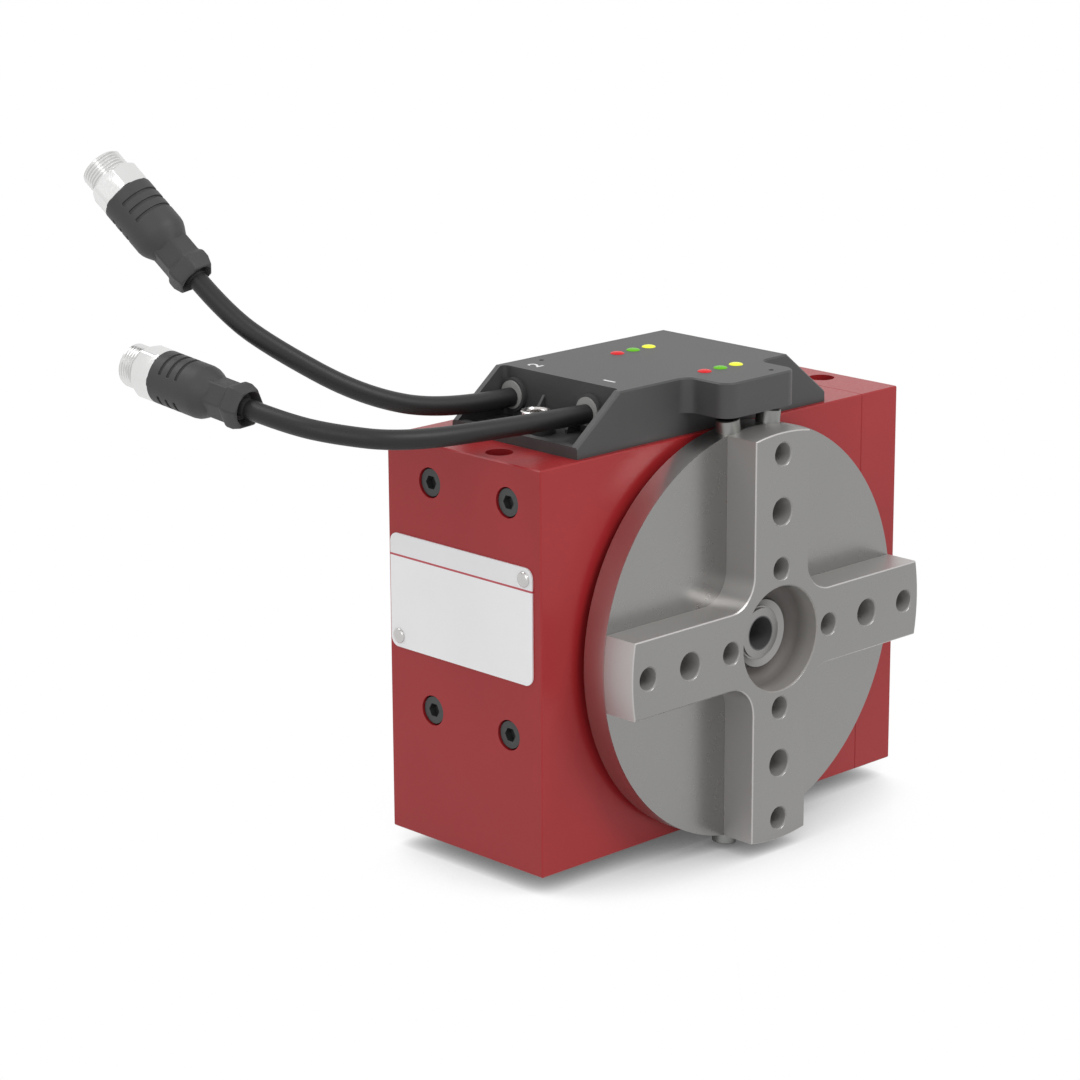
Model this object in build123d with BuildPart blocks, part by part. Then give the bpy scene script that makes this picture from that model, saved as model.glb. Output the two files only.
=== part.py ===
from build123d import *
import math
import os

# Pneumatic rotary indexing table: a rack piston turns a hollow pinion shaft that carries a four-armed table.
# Frame: millimetres, +Z up. The turning axis is the line X = 0, Z = 0, the table faces -Y,
# and the housing's front face is the plane Y = 0.

os.makedirs("parts", exist_ok=True)

# Housing block
housing_length = 160.0
housing_depth = 67.0
housing_height = 126.0
housing_edge = 0.35
seam_edge = 0.25
end_cover_thickness = 17.3
mount_hole_diameter = 8.5
mount_hole_inset = 7.8
mount_hole_setback = 25.6
seam_x = housing_length / 2 - end_cover_thickness
mount_hole_spacing = housing_length - 2 * mount_hole_inset
top_z = housing_height / 2

# Rack-and-pinion drive
tooth_module = 1.0
pinion_teeth = 20
pressure_angle = math.radians(20)
backlash = 0.10
swing_angle = math.radians(180)
cylinder_diameter = 40.0
cylinder_setback = 31.1
rack_inset = 5.0
pitch_radius = tooth_module * pinion_teeth / 2
base_radius = pitch_radius * math.cos(pressure_angle)
tip_radius = pitch_radius + tooth_module
root_radius = pitch_radius - 1.25 * tooth_module
cylinder_radius = cylinder_diameter / 2
cylinder_z = pitch_radius + rack_inset
cylinder_half = seam_x
stroke = swing_angle * pitch_radius

# Bearings and shaft
bearing_bore = 17.0
bearing_outer = 30.0
bearing_width = 7.0
bearing_balls = 9
ball_diameter = 3.8
circlip_land = 2.0
circlip_thickness = 1.2
fit_gap = 0.02
slide_gap = 0.06
shaft_bore = 10.2
shaft_shoulder = 20.0
shaft_recess = 0.3
shaft_radius = bearing_bore / 2
shoulder_radius = shaft_shoulder / 2
bearing_outer_radius = bearing_outer / 2
bearing_inset = circlip_land + circlip_thickness + 0.05
front_bearing_y = bearing_inset
rear_bearing_y = housing_depth - bearing_inset - bearing_width
pinion_half_width = math.sqrt(cylinder_radius**2 - (rack_inset + tooth_module) ** 2) + 0.3

# Rack piston
bumper_thickness = 2.0
bumper_diameter = 28.0
bumper_hole = 10.0
end_gap = 0.1
piston_nose_length = 7.0
piston_nose_diameter = 30.0
piston_gap = 0.15
rack_relief = 0.8
seal_width = 3.0
seal_depth = 3.5
guide_width = 3.6
guide_depth = 1.9
piston_half = cylinder_half - bumper_thickness - end_gap - stroke / 2
rack_half = tip_radius + stroke / 2 + rack_relief
rest_shift = stroke / 2
seal_x = piston_half - piston_nose_length - 1.6 - seal_width / 2
guide_x = seal_x - seal_width / 2 - 1.2 - guide_width / 2

# Turning table
table_diameter = 130.0
table_gap = 2.65
plate_thickness = 8.3
arm_rise = 12.0
arm_width = 24.2
arm_corner = 10.0
arm_edge = 0.4
recess_diameter = 33.2
recess_depth = 11.0
recess_corner = 3.5
hub_diameter = 22.3
hub_setback = 8.2
hub_back_diameter = 21.0
hub_edge = 1.2
hole_row_start = 22.2
hole_row_pitch = 18.0
outer_hole_diameter = 7.0
middle_hole_diameter = 8.5
stud_diameter = 7.6
stud_rise = 4.2
stud_seat_depth = 7.0
stud_offset = 8.75
stud_setback = 8.3
table_radius = table_diameter / 2
plate_front_y = -(table_gap + plate_thickness)
arm_front_y = plate_front_y - arm_rise
hub_front_y = arm_front_y + hub_setback
shaft_front_y = hub_front_y + shaft_recess
key_width = 5.0
key_height = 5.0
key_length = 9.0

# Tie screws through the block into the end cover
tie_spacing_y = 33.8
tie_spacing_z = 72.0
tie_diameter = 5.0
tie_clearance = 0.25
tie_head_diameter = 8.5
tie_head_height = 5.0
tie_counterbore = 9.5
tie_counterbore_depth = 5.6
tie_engagement = 12.0
tie_socket = 4.0
tie_socket_depth = 2.5

# Cover seal
cover_ring_section = 1.8
cover_ring_radius = cylinder_radius + 3.0

# Air ports
port_radius = 4.3
port_depth = 8.0
port_duct = 3.0
port_x = 56.0

# Nameplate
plate_length = 62.5
plate_height = 36.2
plate_gauge = 0.5
plate_corner = 3.0
plate_centre_y = 34.6
plate_centre_z = 14.6
rivet_spacing_y = 55.4
rivet_spacing_z = 29.0
rivet_shank = 2.5
rivet_head = 4.8
rivet_dome = 1.1
rivet_depth = 6.0

# Position sensor
sensor_height = 17.8
nose_gap = 0.7
sensor_front_y = 2.0
sensor_rear_y = 56.0
sensor_left = -63.0
sensor_right = 46.8
sensor_top_left = -45.0
sensor_top_right = 29.0
sensor_lip = 3.6
sensor_wall = 2.4
cheek_thickness = 2.4
sensor_edge = 0.5
pocket_corner = 1.5
lead_boss_diameter = 10.4
lead_boss_length = 1.6
gusset_half = 0.5
gusset_spacing = 15.2
gusset_drop = 6.8
pocket_wall_x = -43.0
pocket_floor = 2.4
lip_thickness = 2.6
nose_half_width = 15.9
nose_front_y = -14.3
nose_height = 10.9
nose_corner = 4.6
nose_root = 4.0
nose_floor = 1.2
base_plate_gauge = 2.0
stud_tip = table_radius + stud_rise
sensor_top = max(top_z + sensor_height, stud_tip + nose_gap + nose_height)
nose_bottom = sensor_top - nose_height
led_pitch = 7.0
led_diameter = 4.4
front_led_y = 3.4
rear_led_y = 40.7
coil_diameter = 7.0
coil_height = 6.0
board_gauge = 1.6
board_length = 60.0
board_width = 15.0
board_spacing = 27.0
board_drop = 5.0
board_post_diameter = 3.0
board_post_inset = 3.0
pinhole_diameter = 1.6
pinhole_depth = 0.8

# Clamp screw of the sensor
clamp_x = -53.6
clamp_y = 29.0
clamp_diameter = 5.0
clamp_head_diameter = 9.5
clamp_head_height = 5.0
clamp_seat = 4.4
clamp_depth = 10.0
clamp_socket = 4.0
clamp_socket_depth = 2.5

# Leads
lead_diameter = 6.0
collar_diameter = 8.8
collar_length = 2.0
lead_z = 72.4
front_lead_y = 16.3
rear_lead_y = 49.0
lead_radius = lead_diameter / 2
lead_start_x = pocket_wall_x - collar_length

# Lead routes: hand-chosen points in the lead's own plane, as (x, sweep towards the rear).
# The plane holds the X axis and leans up from the horizontal, so each lead bows backwards and rises.
front_lead_lean = 8.8
rear_lead_lean = 41.1
front_route = [(lead_start_x, 0), (-76.0, 0), (-113.0, 6.5), (-127.5, 22.5), (-133.0, 36.0), (-134.8, 49.5)]
rear_route = [(lead_start_x, 0), (-72.6, 0), (-98.5, 10.6), (-117.8, 33.3), (-126.0, 48.0), (-128.3, 62.5)]

# Round plug, from the lead outwards
plug_collar_length = 6.3
plug_collar_diameter = 13.6
plug_collar_rear = 11.6
plug_waist_length = 7.8
plug_waist_diameter = 11.8
plug_grip_length = 21.8
plug_grip_diameter = 16.4
groove_depth = 0.5
groove_width = 1.0
groove_pitch = 3.3
groove_start = 4.4
nut_flange_length = 7.0
nut_flange_diameter = 16.0
nut_thread_length = 6.3
nut_thread_diameter = 13.4
nut_mouth_diameter = 11.2
insert_diameter = 9.4
insert_reach = 6.0
pin_circle = 5.6
pin_diameter = 1.1
pin_reach = 11.5
pin_count = 4


def ring(outer, inner, y_start, y_end):
    """Ring on the turning axis between two depths, as a half section for revolving."""
    with Locations(((outer + inner) / 2, (y_start + y_end) / 2)):
        return Rectangle(outer - inner, y_end - y_start)


# Places of the nameplate's rivets, as (depth, height) on the left face
rivet_places = [
    (plate_centre_y - rivet_spacing_y / 2, plate_centre_z + rivet_spacing_z / 2),
    (plate_centre_y + rivet_spacing_y / 2, plate_centre_z - rivet_spacing_z / 2),
]

# Housing body: closed at the left end, bored from the right
with BuildPart() as housing_body:
    with BuildSketch(Plane.YZ.offset(-housing_length / 2)):
        with Locations((housing_depth / 2, 0)):
            Rectangle(housing_depth, housing_height)
    extrude(amount=housing_length / 2 + seam_x)
    chamfer(housing_body.edges().filter_by(Axis.X), housing_edge)
    chamfer(housing_body.faces().sort_by(Axis.X)[0].edges(), housing_edge)
    chamfer(housing_body.faces().sort_by(Axis.X)[-1].edges(), seam_edge)
    # Cylinder, blind at the left
    with BuildSketch(Plane.YZ.offset(-cylinder_half)):
        with Locations((cylinder_setback, cylinder_z)):
            Circle(cylinder_radius)
    extrude(amount=cylinder_half + seam_x, mode=Mode.SUBTRACT)
    # Pinion chamber and bearing seats on the turning axis
    with BuildSketch(Plane.XY):
        ring(tip_radius + 1.0, 0, front_bearing_y + bearing_width - 1, rear_bearing_y + 1)
        ring(bearing_outer_radius + fit_gap, 0, 0, front_bearing_y + bearing_width)
        ring(bearing_outer_radius + fit_gap, 0, rear_bearing_y, housing_depth)
        ring(bearing_outer_radius + 0.75, 0, circlip_land, circlip_land + circlip_thickness)
        ring(
            bearing_outer_radius + 0.75,
            0,
            housing_depth - circlip_land - circlip_thickness,
            housing_depth - circlip_land,
        )
    revolve(axis=Axis.Y, mode=Mode.SUBTRACT)
    # Left vertical fixing hole
    with BuildSketch(Plane.XY.offset(-top_z)):
        with Locations((-mount_hole_spacing / 2, mount_hole_setback)):
            Circle(mount_hole_diameter / 2)
    extrude(amount=housing_height, mode=Mode.SUBTRACT)
    # Tie-screw passages, counterbored at the left face
    with BuildSketch(Plane.YZ.offset(-housing_length / 2)):
        with Locations((cylinder_setback, cylinder_z)):
            with GridLocations(tie_spacing_y, tie_spacing_z, 2, 2):
                Circle(tie_diameter / 2 + tie_clearance)
    extrude(amount=housing_length, mode=Mode.SUBTRACT)
    with BuildSketch(Plane.YZ.offset(-housing_length / 2)):
        with Locations((cylinder_setback, cylinder_z)):
            with GridLocations(tie_spacing_y, tie_spacing_z, 2, 2):
                Circle(tie_counterbore / 2)
    extrude(amount=tie_counterbore_depth, mode=Mode.SUBTRACT)
    # Air ports in the rear face
    with BuildSketch(Plane.XZ.offset(-housing_depth)):
        with Locations((-port_x, cylinder_z), (port_x, cylinder_z)):
            Circle(port_radius)
    extrude(amount=port_depth, mode=Mode.SUBTRACT)
    with BuildSketch(Plane.XZ.offset(-housing_depth)):
        with Locations((-port_x, cylinder_z), (port_x, cylinder_z)):
            Circle(port_duct / 2)
    extrude(amount=housing_depth - cylinder_setback, mode=Mode.SUBTRACT)
    # Rivet holes of the nameplate
    with BuildSketch(Plane.YZ.offset(-housing_length / 2)):
        with Locations(*rivet_places):
            Circle(rivet_shank / 2 + fit_gap)
    extrude(amount=rivet_depth, mode=Mode.SUBTRACT)
    # Tapped hole of the sensor's clamp screw
    with BuildSketch(Plane.XY.offset(top_z)):
        with Locations((clamp_x, clamp_y)):
            Circle(clamp_diameter / 2 + fit_gap)
    extrude(amount=-clamp_depth - 1, mode=Mode.SUBTRACT)
housing_body.part.label = "housing_body"
export_step(housing_body.part, "parts/housing_body.step")

# End cover that closes the cylinder
with BuildPart() as end_cover:
    with BuildSketch(Plane.YZ.offset(seam_x)):
        with Locations((housing_depth / 2, 0)):
            Rectangle(housing_depth, housing_height)
    extrude(amount=end_cover_thickness)
    chamfer(end_cover.edges().filter_by(Axis.X), housing_edge)
    chamfer(end_cover.faces().sort_by(Axis.X)[0].edges(), seam_edge)
    chamfer(end_cover.faces().sort_by(Axis.X)[-1].edges(), housing_edge)
    with BuildSketch(Plane.YZ.offset(seam_x)):
        with Locations((cylinder_setback, cylinder_z)):
            with GridLocations(tie_spacing_y, tie_spacing_z, 2, 2):
                Circle(tie_diameter / 2 + fit_gap)
    extrude(amount=tie_engagement + 1.5, mode=Mode.SUBTRACT)
    with BuildSketch(Plane.YZ.offset(seam_x)):
        with Locations((cylinder_setback, cylinder_z)):
            Circle(cover_ring_radius + cover_ring_section / 2 + 0.1)
            Circle(cover_ring_radius - cover_ring_section / 2 - 0.1, mode=Mode.SUBTRACT)
    extrude(amount=cover_ring_section, mode=Mode.SUBTRACT)
    with BuildSketch(Plane.XY.offset(-top_z)):
        with Locations((mount_hole_spacing / 2, mount_hole_setback)):
            Circle(mount_hole_diameter / 2)
    extrude(amount=housing_height, mode=Mode.SUBTRACT)
end_cover.part.label = "end_cover"
export_step(end_cover.part, "parts/end_cover.step")

# Sealing ring between block and end cover
cylinder_axis = Axis((0, cylinder_setback, cylinder_z), (1, 0, 0))
cylinder_plane = Plane(origin=(0, cylinder_setback, cylinder_z), x_dir=(1, 0, 0), z_dir=(0, -1, 0))
with BuildPart() as cover_seal_ring:
    with BuildSketch(cylinder_plane):
        with Locations((seam_x + cover_ring_section / 2, cover_ring_radius)):
            RegularPolygon(cover_ring_section / 2, 8)
    revolve(axis=cylinder_axis)
cover_seal_ring.part.label = "cover_seal_ring"
export_step(cover_seal_ring.part, "parts/cover_seal_ring.step")

# Four long socket screws that tie the end cover to the block
head_seat_x = -housing_length / 2 + tie_counterbore_depth
with BuildPart() as tie_screws:
    with BuildSketch(Plane.YZ.offset(head_seat_x)):
        with Locations((cylinder_setback, cylinder_z)):
            with GridLocations(tie_spacing_y, tie_spacing_z, 2, 2):
                Circle(tie_diameter / 2)
    extrude(amount=seam_x + tie_engagement - head_seat_x)
    with BuildSketch(Plane.YZ.offset(head_seat_x)):
        with Locations((cylinder_setback, cylinder_z)):
            with GridLocations(tie_spacing_y, tie_spacing_z, 2, 2):
                Circle(tie_head_diameter / 2)
    extrude(amount=-tie_head_height)
    with BuildSketch(Plane.YZ.offset(head_seat_x - tie_head_height)):
        with Locations((cylinder_setback, cylinder_z)):
            with GridLocations(tie_spacing_y, tie_spacing_z, 2, 2):
                RegularPolygon(tie_socket / 2, 6, major_radius=False)
    extrude(amount=tie_socket_depth, mode=Mode.SUBTRACT)
tie_screws.part.label = "tie_screws"
export_step(tie_screws.part, "parts/tie_screws.step")

# Nameplate, left bare, and its two drive rivets
with BuildPart() as nameplate:
    with BuildSketch(Plane.YZ.offset(-housing_length / 2)):
        with Locations((plate_centre_y, plate_centre_z)):
            RectangleRounded(plate_length, plate_height, plate_corner)
        with Locations(*rivet_places):
            Circle(rivet_shank / 2 + fit_gap, mode=Mode.SUBTRACT)
    extrude(amount=-plate_gauge)
nameplate.part.label = "nameplate"
export_step(nameplate.part, "parts/nameplate.step")

plate_face_x = -housing_length / 2 - plate_gauge
with BuildPart() as nameplate_rivets:
    with BuildSketch(Plane.YZ.offset(plate_face_x)):
        with Locations(*rivet_places):
            Circle(rivet_shank / 2)
    extrude(amount=plate_gauge + rivet_depth - 0.5)
    with BuildSketch(Plane.YZ.offset(plate_face_x)):
        with Locations(*rivet_places):
            Circle(rivet_head / 2)
    extrude(amount=-rivet_dome, taper=38)
nameplate_rivets.part.label = "nameplate_rivets"
export_step(nameplate_rivets.part, "parts/nameplate_rivets.step")

# Hollow shaft with the pinion cut on it; involute flanks by formula
pinion_start_y = cylinder_setback - pinion_half_width
pinion_end_y = cylinder_setback + pinion_half_width
shaft_rear_y = housing_depth - 1.0
clip_groove_y = rear_bearing_y + bearing_width + 0.05
clip_groove_radius = shaft_radius - 0.45


def involute(radius):
    """Polar angle of an involute point at a radius, from where the curve leaves its base circle."""
    roll = math.sqrt((radius / base_radius) ** 2 - 1)
    return roll - math.atan(roll)


tooth_half_angle = math.pi / (2 * pinion_teeth) - backlash / (4 * pitch_radius)
flank_steps = 4
flank_radii = [base_radius + (tip_radius - base_radius) * step / flank_steps for step in range(flank_steps + 1)]


def flank_point(radius, side):
    """Point of one tooth's flank; side is 1 or -1."""
    angle = side * (tooth_half_angle + involute(pitch_radius) - involute(radius))
    return (radius * math.cos(angle), radius * math.sin(angle))


foot_radius = root_radius - 0.4
foot_angle = tooth_half_angle + involute(pitch_radius)
with BuildSketch() as pinion_tooth:
    with BuildLine():
        upper = Spline(*[flank_point(radius, 1) for radius in flank_radii])
        lower = Spline(*[flank_point(radius, -1) for radius in flank_radii])
        ThreePointArc(upper @ 1, (tip_radius, 0), lower @ 1)
        foot_upper = (foot_radius * math.cos(foot_angle), foot_radius * math.sin(foot_angle))
        foot_lower = (foot_upper[0], -foot_upper[1])
        Polyline(upper @ 0, foot_upper, foot_lower, lower @ 0)
    make_face()

with BuildPart() as pinion_shaft:
    with BuildSketch(Plane.XY):
        ring(shaft_radius, shaft_bore / 2, shaft_front_y, shaft_rear_y)
        ring(shoulder_radius, shaft_bore / 2, front_bearing_y + bearing_width, pinion_start_y)
        ring(root_radius, shaft_bore / 2, pinion_start_y, pinion_end_y)
        ring(shoulder_radius, shaft_bore / 2, pinion_end_y, rear_bearing_y)
        with Locations((shaft_radius, clip_groove_y + 0.55)):
            Rectangle(2 * (shaft_radius - clip_groove_radius), 1.1, mode=Mode.SUBTRACT)
    revolve(axis=Axis.Y)
    with BuildSketch(Plane.XZ.offset(-pinion_end_y)):
        with PolarLocations(0, pinion_teeth, start_angle=90):
            add(pinion_tooth.sketch)
    extrude(amount=pinion_end_y - pinion_start_y)
    # Keyway under the table's hub
    with BuildSketch(Plane.XZ.offset(-(hub_front_y + 2.0 + key_length))):
        with Locations((0, -shaft_radius)):
            Rectangle(key_width, key_height)
    extrude(amount=key_length, mode=Mode.SUBTRACT)
pinion_shaft.part.label = "pinion_shaft"
export_step(pinion_shaft.part, "parts/pinion_shaft.step")

with BuildPart() as shaft_key:
    with BuildSketch(Plane.XZ.offset(-(hub_front_y + 2.0 + key_length))):
        with Locations((0, -shaft_radius)):
            Rectangle(key_width - 2 * fit_gap, key_height - 2 * fit_gap)
    extrude(amount=key_length)
shaft_key.part.label = "shaft_key"
export_step(shaft_key.part, "parts/shaft_key.step")

with BuildPart() as shaft_circlip:
    with BuildSketch(Plane.XZ.offset(-(clip_groove_y + 1.05))):
        Circle(shaft_radius + 2.2)
        Circle(clip_groove_radius + fit_gap, mode=Mode.SUBTRACT)
        with Locations((0, -shaft_radius - 1)):
            Rectangle(4.0, 6.0, mode=Mode.SUBTRACT)
    extrude(amount=1.0)
shaft_circlip.part.label = "shaft_circlip"
export_step(shaft_circlip.part, "parts/shaft_circlip.step")

# Deep-groove bearings: rings, balls and retaining rings in the housing
ball_circle = (bearing_bore + bearing_outer) / 4
race_gap = 0.04


def bearing_outer_section(y_start):
    """Half section of an outer ring with its ball groove."""
    ring(bearing_outer_radius, ball_circle + 1.2, y_start, y_start + bearing_width)
    with Locations((ball_circle, y_start + bearing_width / 2)):
        Circle(ball_diameter / 2 + race_gap, mode=Mode.SUBTRACT)


def bearing_inner_section(y_start):
    """Half section of an inner ring with its ball groove."""
    ring(ball_circle - 1.2, shaft_radius + fit_gap, y_start, y_start + bearing_width)
    with Locations((ball_circle, y_start + bearing_width / 2)):
        Circle(ball_diameter / 2 + race_gap, mode=Mode.SUBTRACT)


for bearing_name, bearing_y in (("front", front_bearing_y), ("rear", rear_bearing_y)):
    with BuildPart() as bearing_outer_ring:
        with BuildSketch(Plane.XY):
            bearing_outer_section(bearing_y)
        revolve(axis=Axis.Y)
    bearing_outer_ring.part.label = bearing_name + "_bearing_outer_ring"
    export_step(bearing_outer_ring.part, "parts/" + bearing_name + "_bearing_outer_ring.step")

    with BuildPart() as bearing_inner_ring:
        with BuildSketch(Plane.XY):
            bearing_inner_section(bearing_y)
        revolve(axis=Axis.Y)
    bearing_inner_ring.part.label = bearing_name + "_bearing_inner_ring"
    export_step(bearing_inner_ring.part, "parts/" + bearing_name + "_bearing_inner_ring.step")

    with BuildPart() as bearing_ball_set:
        with Locations(Plane.XZ.offset(-(bearing_y + bearing_width / 2))):
            with PolarLocations(ball_circle, bearing_balls):
                Sphere(ball_diameter / 2)
    bearing_ball_set.part.label = bearing_name + "_bearing_balls"
    export_step(bearing_ball_set.part, "parts/" + bearing_name + "_bearing_balls.step")

for clip_name, clip_y in (
    ("front", circlip_land + circlip_thickness - 0.1),
    ("rear", housing_depth - circlip_land - 0.1),
):
    with BuildPart() as bearing_circlip:
        with BuildSketch(Plane.XZ.offset(-clip_y)):
            Circle(bearing_outer_radius + 0.7)
            Circle(bearing_outer_radius - 2.2, mode=Mode.SUBTRACT)
            with Locations((0, -bearing_outer_radius)):
                Rectangle(7.0, 8.0, mode=Mode.SUBTRACT)
        extrude(amount=circlip_thickness - 0.2)
    bearing_circlip.part.label = clip_name + "_bearing_circlip"
    export_step(bearing_circlip.part, "parts/" + clip_name + "_bearing_circlip.step")

# Rack piston: a plunger with a head at each end and the rack cut into its lower side
piston_plane = Plane(origin=(rest_shift, cylinder_setback, cylinder_z), x_dir=(1, 0, 0), z_dir=(0, -1, 0))
piston_radius = cylinder_radius - piston_gap
half_section = (Align.CENTER, Align.MIN)
with BuildPart() as rack_piston:
    with BuildSketch(piston_plane):
        Rectangle(2 * piston_half, piston_radius, align=half_section)
        for side in (-1, 1):
            with Locations((side * (piston_half - piston_nose_length / 2), piston_nose_diameter / 2)):
                Rectangle(piston_nose_length, piston_radius, align=half_section, mode=Mode.SUBTRACT)
            with Locations((side * seal_x, piston_radius - seal_depth)):
                Rectangle(seal_width + 2 * fit_gap, piston_radius, align=half_section, mode=Mode.SUBTRACT)
            with Locations((side * guide_x, piston_radius - guide_depth)):
                Rectangle(guide_width + 2 * fit_gap, piston_radius, align=half_section, mode=Mode.SUBTRACT)
    revolve(axis=cylinder_axis)
    with BuildSketch(Plane.XZ.offset(-cylinder_setback)):
        with Locations((rest_shift, pitch_radius - tooth_module)):
            Rectangle(2 * rack_half, cylinder_diameter, align=(Align.CENTER, Align.MAX))
    extrude(amount=cylinder_radius, both=True, mode=Mode.SUBTRACT)
    # Tooth spaces of the rack, one above each gap of the pinion
    tooth_pitch = math.pi * tooth_module
    mouth_half = tooth_pitch / 4 + backlash / 4 + tooth_module * math.tan(pressure_angle)
    floor_half = tooth_pitch / 4 + backlash / 4 - 1.25 * tooth_module * math.tan(pressure_angle)
    mouth_z = pitch_radius - tooth_module
    floor_z = pitch_radius + 1.25 * tooth_module
    first_space = -math.floor((rack_half - rest_shift - mouth_half) / tooth_pitch)
    last_space = math.floor((rack_half + rest_shift - mouth_half) / tooth_pitch)
    with BuildSketch(Plane.XZ.offset(-cylinder_setback)):
        for space in range(first_space, last_space + 1):
            with Locations((space * tooth_pitch, 0)):
                Polygon(
                    (-mouth_half, mouth_z - 0.2),
                    (-mouth_half, mouth_z),
                    (-floor_half, floor_z),
                    (floor_half, floor_z),
                    (mouth_half, mouth_z),
                    (mouth_half, mouth_z - 0.2),
                    align=None,
                )
    extrude(amount=cylinder_radius, both=True, mode=Mode.SUBTRACT)
rack_piston.part.label = "rack_piston"
export_step(rack_piston.part, "parts/rack_piston.step")

with BuildPart() as piston_seals:
    with BuildSketch(piston_plane):
        with Locations(
            (-seal_x, piston_radius - seal_depth + fit_gap),
            (seal_x, piston_radius - seal_depth + fit_gap),
        ):
            Rectangle(seal_width, seal_depth + piston_gap - slide_gap - fit_gap, align=half_section)
    revolve(axis=cylinder_axis)
piston_seals.part.label = "piston_seals"
export_step(piston_seals.part, "parts/piston_seals.step")

with BuildPart() as piston_guide_rings:
    with BuildSketch(piston_plane):
        with Locations(
            (-guide_x, piston_radius - guide_depth + fit_gap),
            (guide_x, piston_radius - guide_depth + fit_gap),
        ):
            Rectangle(guide_width, guide_depth + piston_gap - slide_gap - fit_gap, align=half_section)
    revolve(axis=cylinder_axis)
piston_guide_rings.part.label = "piston_guide_rings"
export_step(piston_guide_rings.part, "parts/piston_guide_rings.step")

with BuildPart() as end_bumpers:
    with BuildSketch(cylinder_plane):
        with Locations(
            (-cylinder_half + bumper_thickness / 2, (bumper_diameter + bumper_hole) / 4),
            (cylinder_half - bumper_thickness / 2, (bumper_diameter + bumper_hole) / 4),
        ):
            Rectangle(bumper_thickness, (bumper_diameter - bumper_hole) / 2)
    revolve(axis=cylinder_axis)
end_bumpers.part.label = "end_bumpers"
export_step(end_bumpers.part, "parts/end_bumpers.step")

# Turning table: round plate with a raised cross, a central recess and a hub on the shaft
plate_back_y = -table_gap
stud_angle = math.degrees(math.asin(stud_offset / table_radius))
stud_angles = (90 - stud_angle, 90 + stud_angle, 270 - stud_angle)
stud_plane_y = -stud_setback
with BuildPart() as turning_table:
    with BuildSketch(Plane.XZ.offset(table_gap)):
        Circle(table_radius)
    extrude(amount=plate_thickness)
    with BuildSketch(Plane.XZ.offset(-plate_front_y)) as cross:
        Rectangle(3 * table_radius, arm_width)
        Rectangle(arm_width, 3 * table_radius)
        inner_corners = cross.vertices().group_by(SortBy.DISTANCE)[0]
        fillet(inner_corners, arm_corner)
        Circle(table_radius, mode=Mode.INTERSECT)
    extrude(amount=arm_rise)
    # Recess around the hub, with a rounded outer floor
    with BuildSketch(Plane.XY) as recess:
        with BuildLine():
            Polyline(
                (0, arm_front_y),
                (recess_diameter / 2, arm_front_y),
                (recess_diameter / 2, arm_front_y + recess_depth),
                (hub_diameter / 2, arm_front_y + recess_depth),
                (hub_diameter / 2, hub_front_y),
                (0, hub_front_y),
                close=True,
            )
        make_face()
        hub_corner = recess.vertices().group_by(Axis.X)[1].sort_by(Axis.Y)[0]
        fillet(hub_corner, hub_edge)
        deep_corner = recess.vertices().sort_by(Axis.X)[-2:].sort_by(Axis.Y)[-1]
        fillet(deep_corner, recess_corner)
    revolve(axis=Axis.Y, mode=Mode.SUBTRACT)
    # Back boss that seats on the front bearing
    with BuildSketch(Plane.XZ.offset(-front_bearing_y)):
        Circle(hub_back_diameter / 2)
    extrude(amount=front_bearing_y + table_gap)
    with BuildSketch(Plane.XZ.offset(-front_bearing_y)):
        Circle(shaft_radius + fit_gap)
    extrude(amount=front_bearing_y - arm_front_y, mode=Mode.SUBTRACT)
    with BuildSketch(Plane.XZ.offset(-front_bearing_y)):
        with Locations((0, -shaft_radius)):
            Rectangle(key_width, key_height)
    extrude(amount=front_bearing_y - hub_front_y - 2.0, mode=Mode.SUBTRACT)
    # Three fixing holes in each arm
    with BuildSketch(Plane.XZ.offset(-arm_front_y)):
        with PolarLocations(hole_row_start, 4):
            Circle(outer_hole_diameter / 2)
        with PolarLocations(hole_row_start + hole_row_pitch, 4):
            Circle(middle_hole_diameter / 2)
        with PolarLocations(hole_row_start + 2 * hole_row_pitch, 4):
            Circle(outer_hole_diameter / 2)
    extrude(amount=-(arm_rise + plate_thickness), mode=Mode.SUBTRACT)
    # Seats of the target studs in the rim
    for angle in stud_angles:
        outward = (math.cos(math.radians(angle)), 0, math.sin(math.radians(angle)))
        rim_point = (outward[0] * table_radius, stud_plane_y, outward[2] * table_radius)
        with BuildSketch(Plane(origin=rim_point, x_dir=(0, 1, 0), z_dir=outward)):
            Circle(3.0)
        extrude(amount=-stud_seat_depth, mode=Mode.SUBTRACT)
    chamfer(turning_table.faces().sort_by(Axis.Y)[0].edges(), arm_edge)
turning_table.part.label = "turning_table"
export_step(turning_table.part, "parts/turning_table.step")

# Target studs that the sensor reads
with BuildPart() as target_studs:
    for angle in stud_angles:
        outward = (math.cos(math.radians(angle)), 0, math.sin(math.radians(angle)))
        rim_point = (outward[0] * table_radius, stud_plane_y, outward[2] * table_radius)
        stud_plane = Plane(origin=rim_point, x_dir=(0, 1, 0), z_dir=outward)
        with BuildSketch(stud_plane):
            Circle(stud_diameter / 2)
        extrude(amount=stud_rise)
        with BuildSketch(stud_plane.offset(-stud_seat_depth + 0.5)):
            Circle(3.0 - fit_gap)
        extrude(amount=stud_seat_depth - 0.5 + 0.6)
target_studs.part.label = "target_studs"
export_step(target_studs.part, "parts/target_studs.step")

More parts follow.
